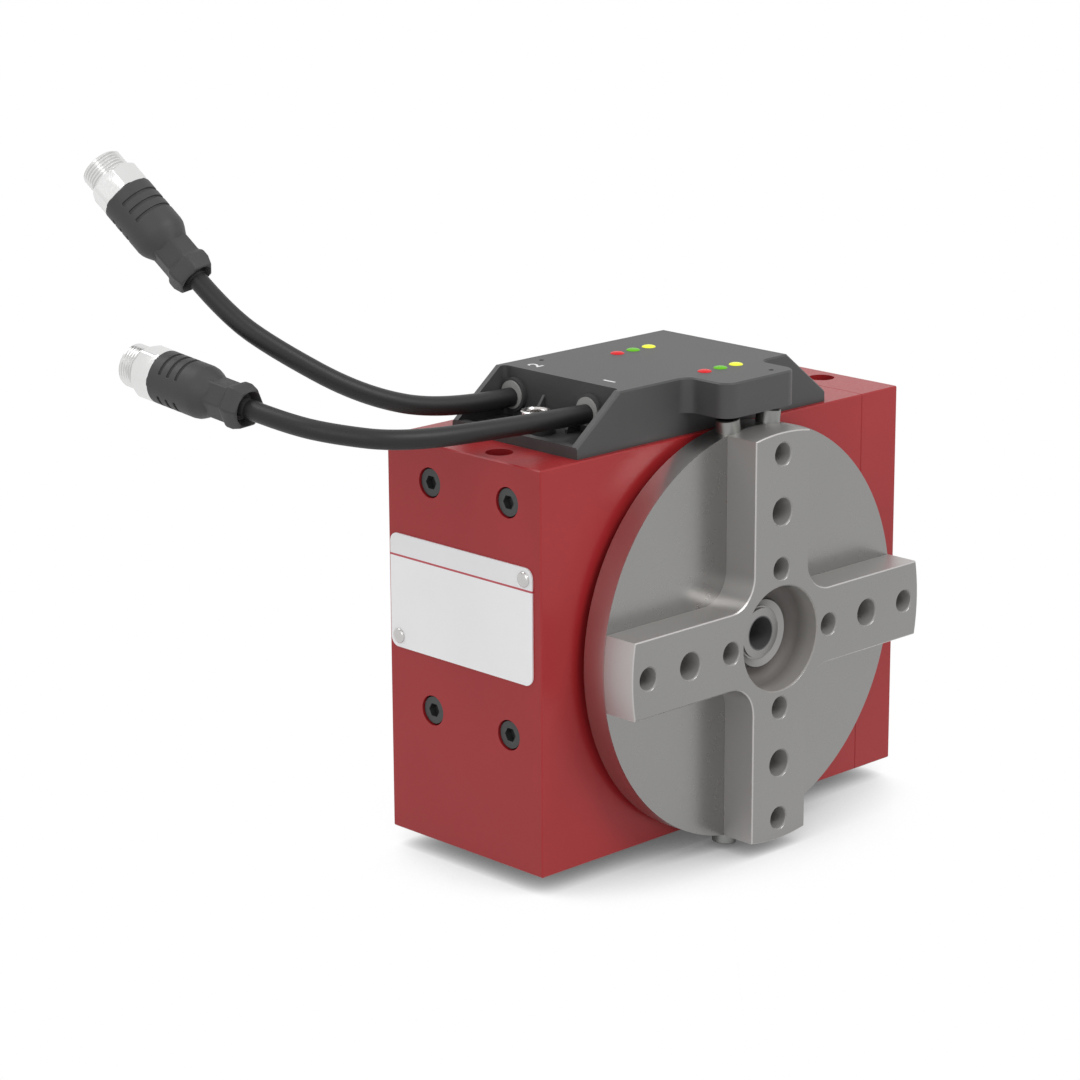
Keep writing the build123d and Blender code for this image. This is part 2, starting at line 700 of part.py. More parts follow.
# Sensor housing: a cassette with sloped ends, an open pocket at the left and a nose over the table's rim
pocket_depth_y = sensor_rear_y - sensor_front_y - 2 * cheek_thickness
sensor_mid_y = (sensor_front_y + sensor_rear_y) / 2
floor_z = top_z + base_plate_gauge
pocket_floor_z = top_z + pocket_floor
led_places = [(step * led_pitch, y) for step in (-1, 0, 1) for y in (front_led_y, rear_led_y)]
with BuildPart() as sensor_housing:
    with BuildSketch(Plane.XZ.offset(-sensor_rear_y)):
        with BuildLine():
            Polyline(
                (sensor_left, top_z),
                (sensor_left, top_z + sensor_lip),
                (sensor_top_left, sensor_top),
                (sensor_top_right, sensor_top),
                (sensor_right, top_z + sensor_lip),
                (sensor_right, top_z),
                close=True,
            )
        make_face()
    extrude(amount=sensor_rear_y - sensor_front_y)
    # Nose with rounded corners, blended into the near side
    with BuildSketch(Plane.XY.offset(nose_bottom)) as nose:
        with BuildLine():
            Polyline(
                (-nose_half_width - nose_root - 1, sensor_front_y + 1),
                (-nose_half_width - nose_root - 1, sensor_front_y),
                (-nose_half_width, sensor_front_y),
                (-nose_half_width, nose_front_y),
                (nose_half_width, nose_front_y),
                (nose_half_width, sensor_front_y),
                (nose_half_width + nose_root + 1, sensor_front_y),
                (nose_half_width + nose_root + 1, sensor_front_y + 1),
                close=True,
            )
        make_face()
        fillet(nose.vertices().group_by(Axis.Y)[0], nose_corner)
        roots = nose.vertices().group_by(Axis.Y)[-2].sort_by(Axis.X)
        fillet(roots[1:3], nose_root)
    extrude(amount=nose_height)
    # Bevel along the top outline and down the sloped ends
    bevel_edges = [
        edge
        for edge in sensor_housing.edges()
        if edge.center().Z > top_z + sensor_lip + 1
        and sensor_left < edge.center().X < sensor_right
        and (abs(edge.center().Z - sensor_top) < 0.01 or abs(edge.center().X) > nose_half_width + nose_root)
        and abs(edge.center().Y - sensor_mid_y) > 1
    ]
    chamfer(bevel_edges, sensor_edge)
    # Pocket at the left, open above and towards the leads
    with BuildSketch(Plane.XY.offset(pocket_floor_z)) as pocket:
        with Locations((sensor_left + lip_thickness, sensor_mid_y)):
            Rectangle(
                pocket_wall_x - sensor_left - lip_thickness,
                pocket_depth_y,
                align=(Align.MIN, Align.CENTER),
            )
        fillet(pocket.vertices().sort_by(Axis.X)[-2:], pocket_corner)
    extrude(amount=sensor_top - top_z, mode=Mode.SUBTRACT)
    with BuildSketch(Plane.XY.offset(top_z + sensor_lip)):
        with Locations((sensor_left - 1, sensor_mid_y)):
            Rectangle(pocket_wall_x - sensor_left - pocket_corner, pocket_depth_y, align=(Align.MIN, Align.CENTER))
    extrude(amount=sensor_top - top_z, mode=Mode.SUBTRACT)
    # Round bosses that hold the bushes of the leads
    with BuildSketch(Plane.YZ.offset(pocket_wall_x + 0.5)):
        with Locations((front_lead_y, lead_z), (rear_lead_y, lead_z)):
            Circle(lead_boss_diameter / 2)
    extrude(amount=-lead_boss_length - 0.5)
    with BuildSketch(Plane.YZ.offset(pocket_wall_x)):
        with Locations((front_lead_y, lead_z), (rear_lead_y, lead_z)):
            Circle(collar_diameter / 2 + fit_gap)
    extrude(amount=-lead_boss_length - 0.5, mode=Mode.SUBTRACT)
    # Seat boss of the clamp screw and two gussets against the pocket wall
    with BuildSketch(Plane.XY.offset(pocket_floor_z - 0.5)):
        with Locations((clamp_x, clamp_y)):
            Circle(clamp_head_diameter / 2 + 1.2)
    extrude(amount=clamp_seat - pocket_floor + 0.5)
    for gusset_y in (sensor_mid_y - gusset_spacing / 2, sensor_mid_y + gusset_spacing / 2):
        with BuildSketch(Plane.XZ.offset(-gusset_y)):
            with BuildLine():
                Polyline(
                    (pocket_wall_x + 0.5, pocket_floor_z - 0.5),
                    (pocket_wall_x - 5.5, pocket_floor_z - 0.5),
                    (pocket_wall_x - 5.5, pocket_floor_z + 1.2),
                    (pocket_wall_x, sensor_top - gusset_drop),
                    (pocket_wall_x + 0.5, sensor_top - gusset_drop),
                    close=True,
                )
            make_face()
        extrude(amount=gusset_half, both=True)
    with BuildSketch(Plane.XY.offset(top_z)):
        with Locations((clamp_x, clamp_y)):
            Circle(clamp_diameter / 2 + 0.25)
    extrude(amount=sensor_top - top_z, mode=Mode.SUBTRACT)
    # Hollow inside, open below for the base plate
    with BuildSketch(Plane.XZ.offset(-(sensor_rear_y - sensor_wall))):
        with BuildLine():
            Polyline(
                (pocket_wall_x + sensor_wall, top_z),
                (pocket_wall_x + sensor_wall, sensor_top - sensor_wall),
                (sensor_top_right - 1, sensor_top - sensor_wall),
                (sensor_right - sensor_wall, top_z + sensor_lip - 0.6),
                (sensor_right - sensor_wall, top_z),
                close=True,
            )
        make_face()
    extrude(amount=sensor_rear_y - sensor_front_y - 2 * sensor_wall, mode=Mode.SUBTRACT)
    with BuildSketch(Plane.XY.offset(nose_bottom + nose_floor)):
        with Locations((0, sensor_front_y + sensor_wall + 1)):
            Rectangle(
                2 * (nose_half_width - sensor_wall),
                sensor_front_y - nose_front_y + 1,
                align=(Align.CENTER, Align.MAX),
            )
    extrude(amount=nose_height - nose_floor - sensor_wall, mode=Mode.SUBTRACT)
    # Windows of the status lamps, lead passages and the two pin holes
    with BuildSketch(Plane.XY.offset(sensor_top)):
        with Locations(*led_places):
            Circle(led_diameter / 2 + fit_gap)
    extrude(amount=-sensor_wall, mode=Mode.SUBTRACT)
    with BuildSketch(Plane.YZ.offset(pocket_wall_x)):
        with Locations((front_lead_y, lead_z), (rear_lead_y, lead_z)):
            Circle(lead_radius + fit_gap)
    extrude(amount=sensor_wall, mode=Mode.SUBTRACT)
    with BuildSketch(Plane.XY.offset(sensor_top)):
        with Locations((stud_offset, nose_front_y + 4.7), (-30.5, sensor_rear_y - 5.5)):
            Circle(pinhole_diameter / 2)
    extrude(amount=-pinhole_depth, mode=Mode.SUBTRACT)
sensor_housing.part.label = "sensor_housing"
export_step(sensor_housing.part, "parts/sensor_housing.step")

# Base plate that closes the cassette from below
with BuildPart() as sensor_base_plate:
    with BuildSketch(Plane.XY.offset(top_z)):
        with Locations((pocket_wall_x + sensor_wall + fit_gap, sensor_mid_y)):
            Rectangle(
                sensor_right - pocket_wall_x - 2 * (sensor_wall + fit_gap),
                sensor_rear_y - sensor_front_y - 2 * (sensor_wall + fit_gap),
                align=(Align.MIN, Align.CENTER),
            )
    extrude(amount=base_plate_gauge)
sensor_base_plate.part.label = "sensor_base_plate"
export_step(sensor_base_plate.part, "parts/sensor_base_plate.step")

# Circuit boards, one for each channel, standing on posts of the base plate
board_z = sensor_top - sensor_wall - board_drop
board_centre_x = (pocket_wall_x + sensor_top_right) / 2
post_spacing_x = board_length - 2 * board_post_inset
post_spacing_y = board_width - 2 * board_post_inset
with BuildPart() as circuit_boards:
    for board_y in (sensor_mid_y - board_spacing / 2, sensor_mid_y + board_spacing / 2):
        with BuildSketch(Plane.XY.offset(board_z)):
            with Locations((board_centre_x, board_y)):
                Rectangle(board_length, board_width)
        extrude(amount=board_gauge)
        with BuildSketch(Plane.XY.offset(floor_z)):
            with Locations((board_centre_x, board_y)):
                with GridLocations(post_spacing_x, post_spacing_y, 2, 2):
                    Circle(board_post_diameter / 2)
        extrude(amount=board_z - floor_z)
circuit_boards.part.label = "circuit_boards"
export_step(circuit_boards.part, "parts/circuit_boards.step")

# Sensing coils above the studs' path
with BuildPart() as sensing_coils:
    with BuildSketch(Plane.XY.offset(nose_bottom + nose_floor)):
        with Locations((-stud_offset, -stud_setback), (stud_offset, -stud_setback)):
            Circle(coil_diameter / 2)
    extrude(amount=coil_height)
sensing_coils.part.label = "sensing_coils"
export_step(sensing_coils.part, "parts/sensing_coils.step")

# Status lamps: red, green and yellow on both channels
for lamp_name, lamp_x in (("red", -led_pitch), ("green", 0.0), ("yellow", led_pitch)):
    with BuildPart() as status_lamps:
        with BuildSketch(Plane.XY.offset(sensor_top)):
            with Locations((lamp_x, front_led_y), (lamp_x, rear_led_y)):
                Circle(led_diameter / 2)
        extrude(amount=-sensor_wall)
    status_lamps.part.label = lamp_name + "_status_lamps"
    export_step(status_lamps.part, "parts/" + lamp_name + "_status_lamps.step")

# Socket screw that clamps the sensor to the block
clamp_seat_z = top_z + clamp_seat
with BuildPart() as clamp_screw:
    with BuildSketch(Plane.XY.offset(clamp_seat_z)):
        with Locations((clamp_x, clamp_y)):
            Circle(clamp_head_diameter / 2)
    extrude(amount=clamp_head_height)
    chamfer(clamp_screw.faces().sort_by(Axis.Z)[-1].edges(), 0.4)
    with BuildSketch(Plane.XY.offset(top_z - clamp_depth)):
        with Locations((clamp_x, clamp_y)):
            Circle(clamp_diameter / 2)
    extrude(amount=clamp_depth + clamp_seat)
    with BuildSketch(Plane.XY.offset(clamp_seat_z + clamp_head_height)):
        with Locations((clamp_x, clamp_y)):
            RegularPolygon(clamp_socket / 2, 6, major_radius=False)
    extrude(amount=-clamp_socket_depth, mode=Mode.SUBTRACT)
clamp_screw.part.label = "clamp_screw"
export_step(clamp_screw.part, "parts/clamp_screw.step")


def route_radii(points):
    """Largest tangent arc at each inner point: 0.45 of the shorter run over the tangent of half the turn."""
    radii = []
    for before, corner, after in zip(points, points[1:], points[2:]):
        run_in = Vector(*corner) - Vector(*before)
        run_out = Vector(*after) - Vector(*corner)
        half_turn = math.radians(run_in.get_angle(run_out)) / 2
        radii.append(0.45 * min(run_in.length, run_out.length) / math.tan(half_turn))
    return radii


# Leads and plugs; everything on a lead lies in its own leaning plane
leads = (("front", front_route, front_lead_y, front_lead_lean), ("rear", rear_route, rear_lead_y, rear_lead_lean))
for lead_name, lead_route, lead_y, lead_lean in leads:
    lean = math.radians(lead_lean)
    lead_points = [(x, lead_y + sweep * math.cos(lean), lead_z + sweep * math.sin(lean)) for x, sweep in lead_route]
    bend_radii = route_radii(lead_points)
    with BuildPart() as cable_collar:
        with BuildSketch(Plane.YZ.offset(pocket_wall_x)):
            with Locations((lead_y, lead_z)):
                Circle(collar_diameter / 2)
        extrude(amount=-collar_length)
        with BuildSketch(Plane.YZ.offset(pocket_wall_x)):
            with Locations((lead_y, lead_z)):
                Circle(lead_radius - fit_gap)
        extrude(amount=sensor_wall + 2.0)
        with BuildSketch(Plane.YZ.offset(pocket_wall_x - collar_length)):
            with Locations((lead_y, lead_z)):
                Circle(1.8)
        extrude(amount=collar_length + sensor_wall + 3, mode=Mode.SUBTRACT)
    cable_collar.part.label = lead_name + "_cable_collar"
    export_step(cable_collar.part, "parts/" + lead_name + "_cable_collar.step")

    with BuildPart() as lead:
        with BuildLine() as lead_path:
            FilletPolyline(*lead_points, radius=bend_radii)
        with BuildSketch(Plane.YZ.offset(lead_start_x)):
            with Locations((lead_y, lead_z)):
                Circle(lead_radius)
        sweep(path=lead_path.wires()[0])
    lead.part.label = lead_name + "_lead"
    export_step(lead.part, "parts/" + lead_name + "_lead.step")
    path_length = lead_path.wires()[0].length
    swept_volume = math.pi * lead_radius**2 * path_length
    print(lead_name, "lead length", round(path_length, 1), "bend radii", [round(r, 1) for r in bend_radii])
    print(lead_name, "lead volume ratio", round(lead.part.volume / swept_volume, 4))

    end_point = Vector(*lead_points[-1])
    plug_direction = (end_point - Vector(*lead_points[-2])).normalized()
    plug_upwards = Vector(0, -math.sin(lean), math.cos(lean))
    plug_plane = Plane(origin=end_point, x_dir=plug_upwards, z_dir=plug_direction)
    plug_axis = Axis(end_point, plug_direction)
    # Half section of the plug: local x is the radius, local y runs along the plug away from the lead
    plug_section = Plane(origin=end_point, x_dir=plug_upwards, z_dir=plug_upwards.cross(plug_direction))
    waist_start = plug_collar_length
    grip_start = waist_start + plug_waist_length
    grip_end = grip_start + plug_grip_length
    with BuildPart() as plug_grip:
        with BuildSketch(plug_section) as grip_outline:
            with BuildLine():
                Polyline(
                    (0, 0),
                    (plug_collar_rear / 2, 0),
                    (plug_collar_diameter / 2, 2.4),
                    (plug_collar_diameter / 2, plug_collar_length - 0.8),
                    (plug_waist_diameter / 2, waist_start + 1.0),
                    (plug_waist_diameter / 2, grip_start - 1.5),
                    (plug_grip_diameter / 2, grip_start + 3.4),
                    (plug_grip_diameter / 2, grip_end),
                    (0, grip_end),
                    close=True,
                )
            make_face()
            for groove in range(3):
                with Locations((plug_grip_diameter / 2, grip_end - groove_start - groove * groove_pitch)):
                    Rectangle(2 * groove_depth, groove_width, mode=Mode.SUBTRACT)
        revolve(axis=plug_axis)
    plug_grip.part.label = lead_name + "_plug_grip"
    export_step(plug_grip.part, "parts/" + lead_name + "_plug_grip.step")

    nut_start = grip_end + slide_gap
    with BuildPart() as coupling_nut:
        with BuildSketch(plug_plane.offset(nut_start)):
            RegularPolygon(nut_flange_diameter / 2, 12)
        extrude(amount=nut_flange_length)
        with BuildSketch(plug_plane.offset(nut_start)):
            Circle(nut_thread_diameter / 2)
        extrude(amount=nut_flange_length + nut_thread_length)
        with BuildSketch(plug_plane.offset(nut_start)):
            Circle(nut_mouth_diameter / 2)
        extrude(amount=nut_flange_length + nut_thread_length, mode=Mode.SUBTRACT)
    coupling_nut.part.label = lead_name + "_coupling_nut"
    export_step(coupling_nut.part, "parts/" + lead_name + "_coupling_nut.step")

    with BuildPart() as contact_insert:
        with BuildSketch(plug_plane.offset(grip_end)):
            Circle(insert_diameter / 2)
            with PolarLocations(pin_circle / 2, pin_count, start_angle=45):
                Circle(pin_diameter / 2 + fit_gap, mode=Mode.SUBTRACT)
        extrude(amount=insert_reach)
    contact_insert.part.label = lead_name + "_contact_insert"
    export_step(contact_insert.part, "parts/" + lead_name + "_contact_insert.step")

    with BuildPart() as contact_pins:
        with BuildSketch(plug_plane.offset(grip_end)):
            with PolarLocations(pin_circle / 2, pin_count, start_angle=45):
                Circle(pin_diameter / 2)
        extrude(amount=pin_reach)
        chamfer(contact_pins.faces().filter_by(GeomType.PLANE).group_by(plug_axis)[-1].edges(), 0.2)
    contact_pins.part.label = lead_name + "_contact_pins"
    export_step(contact_pins.part, "parts/" + lead_name + "_contact_pins.step")
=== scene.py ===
import math

import bmesh
import bpy
from mathutils import Matrix, Vector


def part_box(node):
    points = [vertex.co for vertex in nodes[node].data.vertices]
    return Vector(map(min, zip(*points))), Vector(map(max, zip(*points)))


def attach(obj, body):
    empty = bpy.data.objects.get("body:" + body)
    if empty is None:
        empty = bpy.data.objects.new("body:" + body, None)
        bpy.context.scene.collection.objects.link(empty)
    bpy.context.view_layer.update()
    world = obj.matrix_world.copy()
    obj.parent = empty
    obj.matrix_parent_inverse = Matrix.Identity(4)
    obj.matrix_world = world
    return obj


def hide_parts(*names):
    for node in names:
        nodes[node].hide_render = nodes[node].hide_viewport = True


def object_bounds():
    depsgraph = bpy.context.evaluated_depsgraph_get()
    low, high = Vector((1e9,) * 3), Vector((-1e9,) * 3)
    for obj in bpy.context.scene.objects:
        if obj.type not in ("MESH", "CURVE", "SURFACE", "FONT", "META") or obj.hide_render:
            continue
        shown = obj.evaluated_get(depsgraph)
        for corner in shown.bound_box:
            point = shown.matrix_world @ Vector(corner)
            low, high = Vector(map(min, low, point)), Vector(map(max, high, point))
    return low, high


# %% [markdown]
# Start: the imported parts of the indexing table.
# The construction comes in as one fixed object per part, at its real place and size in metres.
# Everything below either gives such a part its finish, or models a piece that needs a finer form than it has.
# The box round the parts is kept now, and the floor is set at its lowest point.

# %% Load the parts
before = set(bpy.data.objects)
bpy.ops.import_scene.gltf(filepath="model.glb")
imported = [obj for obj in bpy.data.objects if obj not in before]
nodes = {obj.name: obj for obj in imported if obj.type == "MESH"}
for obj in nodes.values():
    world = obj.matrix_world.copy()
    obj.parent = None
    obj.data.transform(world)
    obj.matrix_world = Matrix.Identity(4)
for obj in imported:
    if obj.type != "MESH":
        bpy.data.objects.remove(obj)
frame_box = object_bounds()
print("parts", len(nodes), "box", [tuple(round(v, 4) for v in corner) for corner in frame_box])

# %% [markdown]
# Camera: a long lens from the left, a little above the object.
# A product view like this one could also be framed by eye, but a place, a target and a small roll are
# enough to fix it, and they can be read and changed later.

# %% Camera
camera_place = Vector((-0.7443, -0.6874, 0.3021))
camera_target = Vector((-0.04783, 0.03361, 0.02974))
camera_roll = math.radians(-0.312)
camera_lens = 113.10

camera_data = bpy.data.cameras.new("camera")
camera_data.lens = camera_lens
camera_data.sensor_width = 36.0
camera = bpy.data.objects.new("camera", camera_data)
bpy.context.scene.collection.objects.link(camera)
view_line = camera_target - camera_place
turn = view_line.to_track_quat("-Z", "Y").to_matrix().to_4x4()
camera.matrix_world = Matrix.Translation(camera_place) @ turn @ Matrix.Rotation(camera_roll, 4, "Z")
bpy.context.scene.camera = camera
print("camera distance", round(view_line.length, 4))

# %% [markdown]
# Leads: two round cables leave the sensor at the left and rise to their plugs.
# A cable could be a swept mesh, but a curve with a round bevel stays smooth at any distance and keeps
# its length measurable. Each lead bows backwards and rises, and its control points lie in one leaning
# plane, so a point needs only its x and its sweep towards the rear. The first two points dip or lift a
# little, where the lead's own weight sets it in its collar.

# %% Lead routes
lead_diameter = 0.006
lead_exits = {"front": Vector((-0.045, 0.0163, 0.0724)), "rear": Vector((-0.045, 0.0490, 0.0724))}
lead_leans = {"front": math.radians(8.8), "rear": math.radians(41.1)}
lead_sweeps = {
    "front": [
        (-0.0450, 0), (-0.0760, 0), (-0.1130, 0.0065), (-0.1275, 0.0225), (-0.1330, 0.0360), (-0.1348, 0.0495),
    ],
    "rear": [
        (-0.0450, 0), (-0.0726, 0), (-0.0985, 0.0106), (-0.1178, 0.0333), (-0.1260, 0.0480), (-0.1283, 0.0625),
    ],
}
lead_dips = {"front": (0.0007, -0.0004), "rear": (0.0007, 0.0005)}
lead_routes = {}
for side, sweeps in lead_sweeps.items():
    backwards = Vector((0, math.cos(lead_leans[side]), math.sin(lead_leans[side])))
    start = lead_exits[side]
    lead_routes[side] = [Vector((x, start.y, start.z)) + sweep * backwards for x, sweep in sweeps]
    for place, dip in zip(lead_routes[side], lead_dips[side]):
        place.z -= dip


def lead_curve(name, route):
    """Round cable along the given control points."""
    data = bpy.data.curves.new(name, "CURVE")
    data.dimensions = "3D"
    spline = data.splines.new("NURBS")
    spline.points.add(len(route) - 1)
    for point, place in zip(spline.points, route):
        point.co = (*place, 1)
    spline.order_u = 3
    spline.use_endpoint_u = True
    spline.resolution_u = 24
    data.bevel_depth = lead_diameter / 2
    data.bevel_resolution = 8
    data.use_fill_caps = True
    lead = bpy.data.objects.new(name, data)
    bpy.context.scene.collection.objects.link(lead)
    return lead


leads = {}
for side, route in lead_routes.items():
    leads[side] = lead_curve(side + "_lead_cable", route)
    print(side, "lead has", len(route), "control points")

# %% [markdown]
# Small helpers for modelling by hand.
# Each piece starts as a primitive or a single point and is shaped in edit mode. An operator acts on
# whatever is selected, so the helpers start from nothing selected and pick faces by place.

# %% Modelling helpers


def deselect_all():
    """Object mode with nothing selected."""
    if bpy.context.mode != "OBJECT":
        bpy.ops.object.mode_set(mode="OBJECT")
    bpy.ops.object.select_all(action="DESELECT")


def select_only(piece):
    """Object mode with one piece selected and active."""
    deselect_all()
    piece.select_set(True)
    bpy.context.view_layer.objects.active = piece


def edit(piece):
    """Edit mode on one piece, with nothing of it selected."""
    select_only(piece)
    bpy.ops.object.mode_set(mode="EDIT")
    bpy.ops.mesh.select_mode(type="VERT")
    bpy.ops.mesh.select_all(action="DESELECT")


def named(name):
    """Names the primitive just added and its mesh."""
    piece = bpy.context.object
    piece.name = name
    piece.data.name = name
    return piece


def select_where(piece, kind, wanted):
    """Selects the faces or the edges that pass a test, in edit mode; returns how many."""
    bpy.ops.mesh.select_mode(type=kind)
    mesh = bmesh.from_edit_mesh(piece.data)
    count = 0
    for part in mesh.faces if kind == "FACE" else mesh.edges:
        part.select = wanted(part)
        count += part.select
    bmesh.update_edit_mesh(piece.data)
    return count


def select_faces(piece, wanted):
    """Selects the faces whose centre and normal pass a test; returns how many."""
    return select_where(piece, "FACE", lambda face: wanted(face.calc_center_median(), face.normal))


def finish_mesh(piece, smooth_angle=35):
    """Merges doubles, turns the faces outwards, shades by angle and returns to object mode."""
    edit(piece)
    bpy.ops.mesh.select_all(action="SELECT")
    bpy.ops.mesh.remove_doubles(threshold=1e-6)
    bpy.ops.mesh.normals_make_consistent(inside=False)
    select_only(piece)
    bpy.ops.object.shade_smooth_by_angle(angle=math.radians(smooth_angle))
    return piece


def apply_modifier(piece, modifier):
    """Applies one modifier to the piece's own mesh."""
    select_only(piece)
    bpy.ops.object.modifier_apply(modifier=modifier.name)


def soften(piece, width, segments=2, angle=35):
    """Rounds the sharp edges with a bevel."""
    bevel = piece.modifiers.new("soft_edges", "BEVEL")
    bevel.width = width
    bevel.segments = segments
    bevel.limit_method = "ANGLE"
    bevel.angle_limit = math.radians(angle)
    apply_modifier(piece, bevel)
    return piece


def combine(piece, other, operation):
    """Joins, cuts or trims a piece with a second one, which is then removed."""
    boolean = piece.modifiers.new(operation.lower(), "BOOLEAN")
    boolean.operation = operation
    boolean.solver = "EXACT"
    boolean.object = other
    apply_modifier(piece, boolean)
    bpy.data.objects.remove(other)
    return piece


def one_point(name, radius, height):
    """Piece of a single point beside the Z axis, selected in edit mode."""
    deselect_all()
    bpy.ops.mesh.primitive_plane_add(size=0.001)
    piece = named(name)
    edit(piece)
    bpy.ops.mesh.select_all(action="SELECT")
    bpy.ops.mesh.merge(type="CENTER")
    bpy.ops.transform.translate(value=(radius, 0, height))
    return piece


def turned(name, outline, steps=64):
    """Turned piece on the Z axis: a point is extruded along the outline and spun once round."""
    radius, height = outline[0]
    piece = one_point(name, radius, height)
    for new_radius, new_height in outline[1:]:
        step = (new_radius - radius, 0, new_height - height)
        bpy.ops.mesh.extrude_region_move(TRANSFORM_OT_translate={"value": step})
        radius, height = new_radius, new_height
    bpy.ops.mesh.select_all(action="SELECT")
    bpy.ops.mesh.spin(steps=steps, angle=2 * math.pi, center=(0, 0, 0), axis=(0, 0, 1))
    return finish_mesh(piece)


def hexagon(name, flat, depth, height):
    """Upright six-sided cylinder; flat is the distance from its axis to a side."""
    corner = 1 / math.cos(math.pi / 6)
    deselect_all()
    bpy.ops.mesh.primitive_cylinder_add(
        vertices=6, radius=flat * corner, depth=depth, location=(0, 0, height), end_fill_type="NGON"
    )
    return named(name)


def dome(radius, foot, rise, steps):
    """Outline points of a round dome, from just above its foot to its crown."""
    points = []
    for step in range(1, steps):
        part = math.pi / 2 * step / steps
        points.append((radius * math.cos(part), foot + rise * math.sin(part)))
    return [*points, (0, foot + rise)]


def placed(piece, matrix):
    """Puts a piece modelled at the origin in its place, and keeps the place in its mesh."""
    select_only(piece)
    piece.matrix_world = matrix
    bpy.ops.object.transform_apply(location=True, rotation=True, scale=True)
    return piece


def copied(piece, name):
    """A copy with its own mesh."""
    twin = piece.copy()
    twin.data = piece.data.copy()
    twin.name = name
    twin.data.name = name
    bpy.context.scene.collection.objects.link(twin)
    return twin


# %% [markdown]
# Plug grip: a moulded barrel with three finger grooves on its upper and lower sides, a six-sided waist
# and a six-sided collar with a hollow mouth where the lead goes in.
# The barrel is turned, and the grooves are sunk into bands of its faces, so they end before the smooth
# side panels as they do on the moulding. The waist starts as a six-sided cylinder, because its flats
# catch the light one by one. A boolean then makes one body of both.

# %% Plug sizes along its axis, from the lead outwards
collar_length = 0.0063
waist_length = 0.0078
grip_length = 0.0202
grip_radius = 0.0082
waist_flat = 0.0056
collar_flat = 0.0064
grip_start = collar_length + waist_length
grip_end = grip_start + grip_length
groove_width = 0.0010
groove_pitch = 0.0033
groove_offset = 0.0044
groove_depth = 0.0006
groove_span = math.radians(64)

# %% Turn the barrel
grip_edge = 0.0004
shoulder_foot = -0.0022
shoulder = [(0, shoulder_foot), (0.0050, shoulder_foot), (0.0058, -0.0014), (0.0067, 0.0002)]
shoulder += [(0.0075, 0.0017), (0.0080, 0.0029), (grip_radius, 0.0042)]
groove_starts = [grip_end - groove_offset - step * groove_pitch - groove_width / 2 for step in (2, 1, 0)]
barrel_outline = [(radius, grip_start + run) for radius, run in shoulder]
for groove_start in groove_starts:
    barrel_outline += [(grip_radius, groove_start), (grip_radius, groove_start + groove_width)]
barrel_outline += [(grip_radius, grip_end - grip_edge), (grip_radius - grip_edge, grip_end), (0, grip_end)]
barrel = turned("plug_grip_master", barrel_outline, steps=72)
print("barrel faces", len(barrel.data.polygons))

# %% Sink the finger grooves


def in_groove(centre, normal):
    """Faces of the groove bands that lie on the upper or the lower side."""
    in_band = any(start < centre.z < start + groove_width for start in groove_starts)
    from_top = abs(math.atan2(centre.y, abs(centre.x)))
    return in_band and abs(normal.z) < 0.3 and from_top < groove_span


edit(barrel)
sunk = select_faces(barrel, in_groove)
bpy.ops.mesh.extrude_region_shrink_fatten(TRANSFORM_OT_shrink_fatten={"value": -groove_depth})
finish_mesh(barrel)
soften(barrel, 0.00018, segments=2, angle=40)
print("groove faces sunk", sunk)

# %% Shape the six-sided waist and collar
waist_overlap = 0.0030
collar_flare = 0.0008
collar_band = 0.0026
collar_taper = 0.86
waist_run = waist_length + waist_overlap
waist = hexagon("plug_waist", waist_flat, waist_run, collar_length + waist_run / 2)
edit(waist)
select_faces(waist, lambda centre, normal: normal.z < -0.9)
collar_growth = collar_flat / waist_flat
collar_end = collar_length - collar_flare - collar_band
for run, growth in ((collar_flare, collar_growth), (collar_band, 1.0), (collar_end, collar_taper)):
    bpy.ops.mesh.extrude_region_move(TRANSFORM_OT_translate={"value": (0, 0, -run)})
    bpy.ops.transform.resize(value=(growth, growth, 1), center_override=(0, 0, 0))
finish_mesh(waist)
soften(waist, 0.0011, segments=4, angle=25)
combine(barrel, waist, "UNION")
print("grip faces", len(barrel.data.polygons))

# %% Open the collar round the lead
mouth_radius = 0.0050
mouth_depth = 0.0030
lead_radius = lead_diameter / 2
mouth_flare = 0.0003
mouth_taper = 0.0008
beyond = 0.001
mouth_outline = [(lead_radius, -beyond), (mouth_radius + mouth_flare, -beyond)]
mouth_outline += [(mouth_radius + mouth_flare, 0.0001), (mouth_radius, 0.0005)]
mouth_outline += [(mouth_radius - mouth_taper, mouth_depth), (lead_radius, mouth_depth), (lead_radius, -beyond)]
combine(barrel, turned("collar_mouth", mouth_outline, steps=48), "DIFFERENCE")
finish_mesh(barrel, 28)
print("grip faces with its mouth", len(barrel.data.polygons))

# %% [markdown]
# Coupling nut: a bright plated ring with six turned-down flats and a fine male thread in front of it.
# The thread could be drawn as rings, but a real one climbs, so one tooth is wound with the Screw
# modifier. The winding is cut square at both ends and closed with a face, and a turned envelope trims it
# to length and gives it a lead-in. The mouth is cut last.

# %% Wind the thread
nut_gap = 0.00006
nut_start = grip_end + nut_gap
flange_length = 0.0070
flange_radius = 0.00826
flange_flat = 0.00735
thread_length = 0.0063
thread_radius = 0.0067
thread_pitch = 0.0010
thread_depth = 0.00050
nut_mouth = 0.0056
thread_overlap = 0.0010
thread_turns = round((thread_length + thread_overlap) / thread_pitch) + 4
thread_foot = nut_start + flange_length - thread_overlap - 2 * thread_pitch
crest_run = thread_pitch * 0.12
flank_run = thread_pitch * 0.32
weld = 1e-6

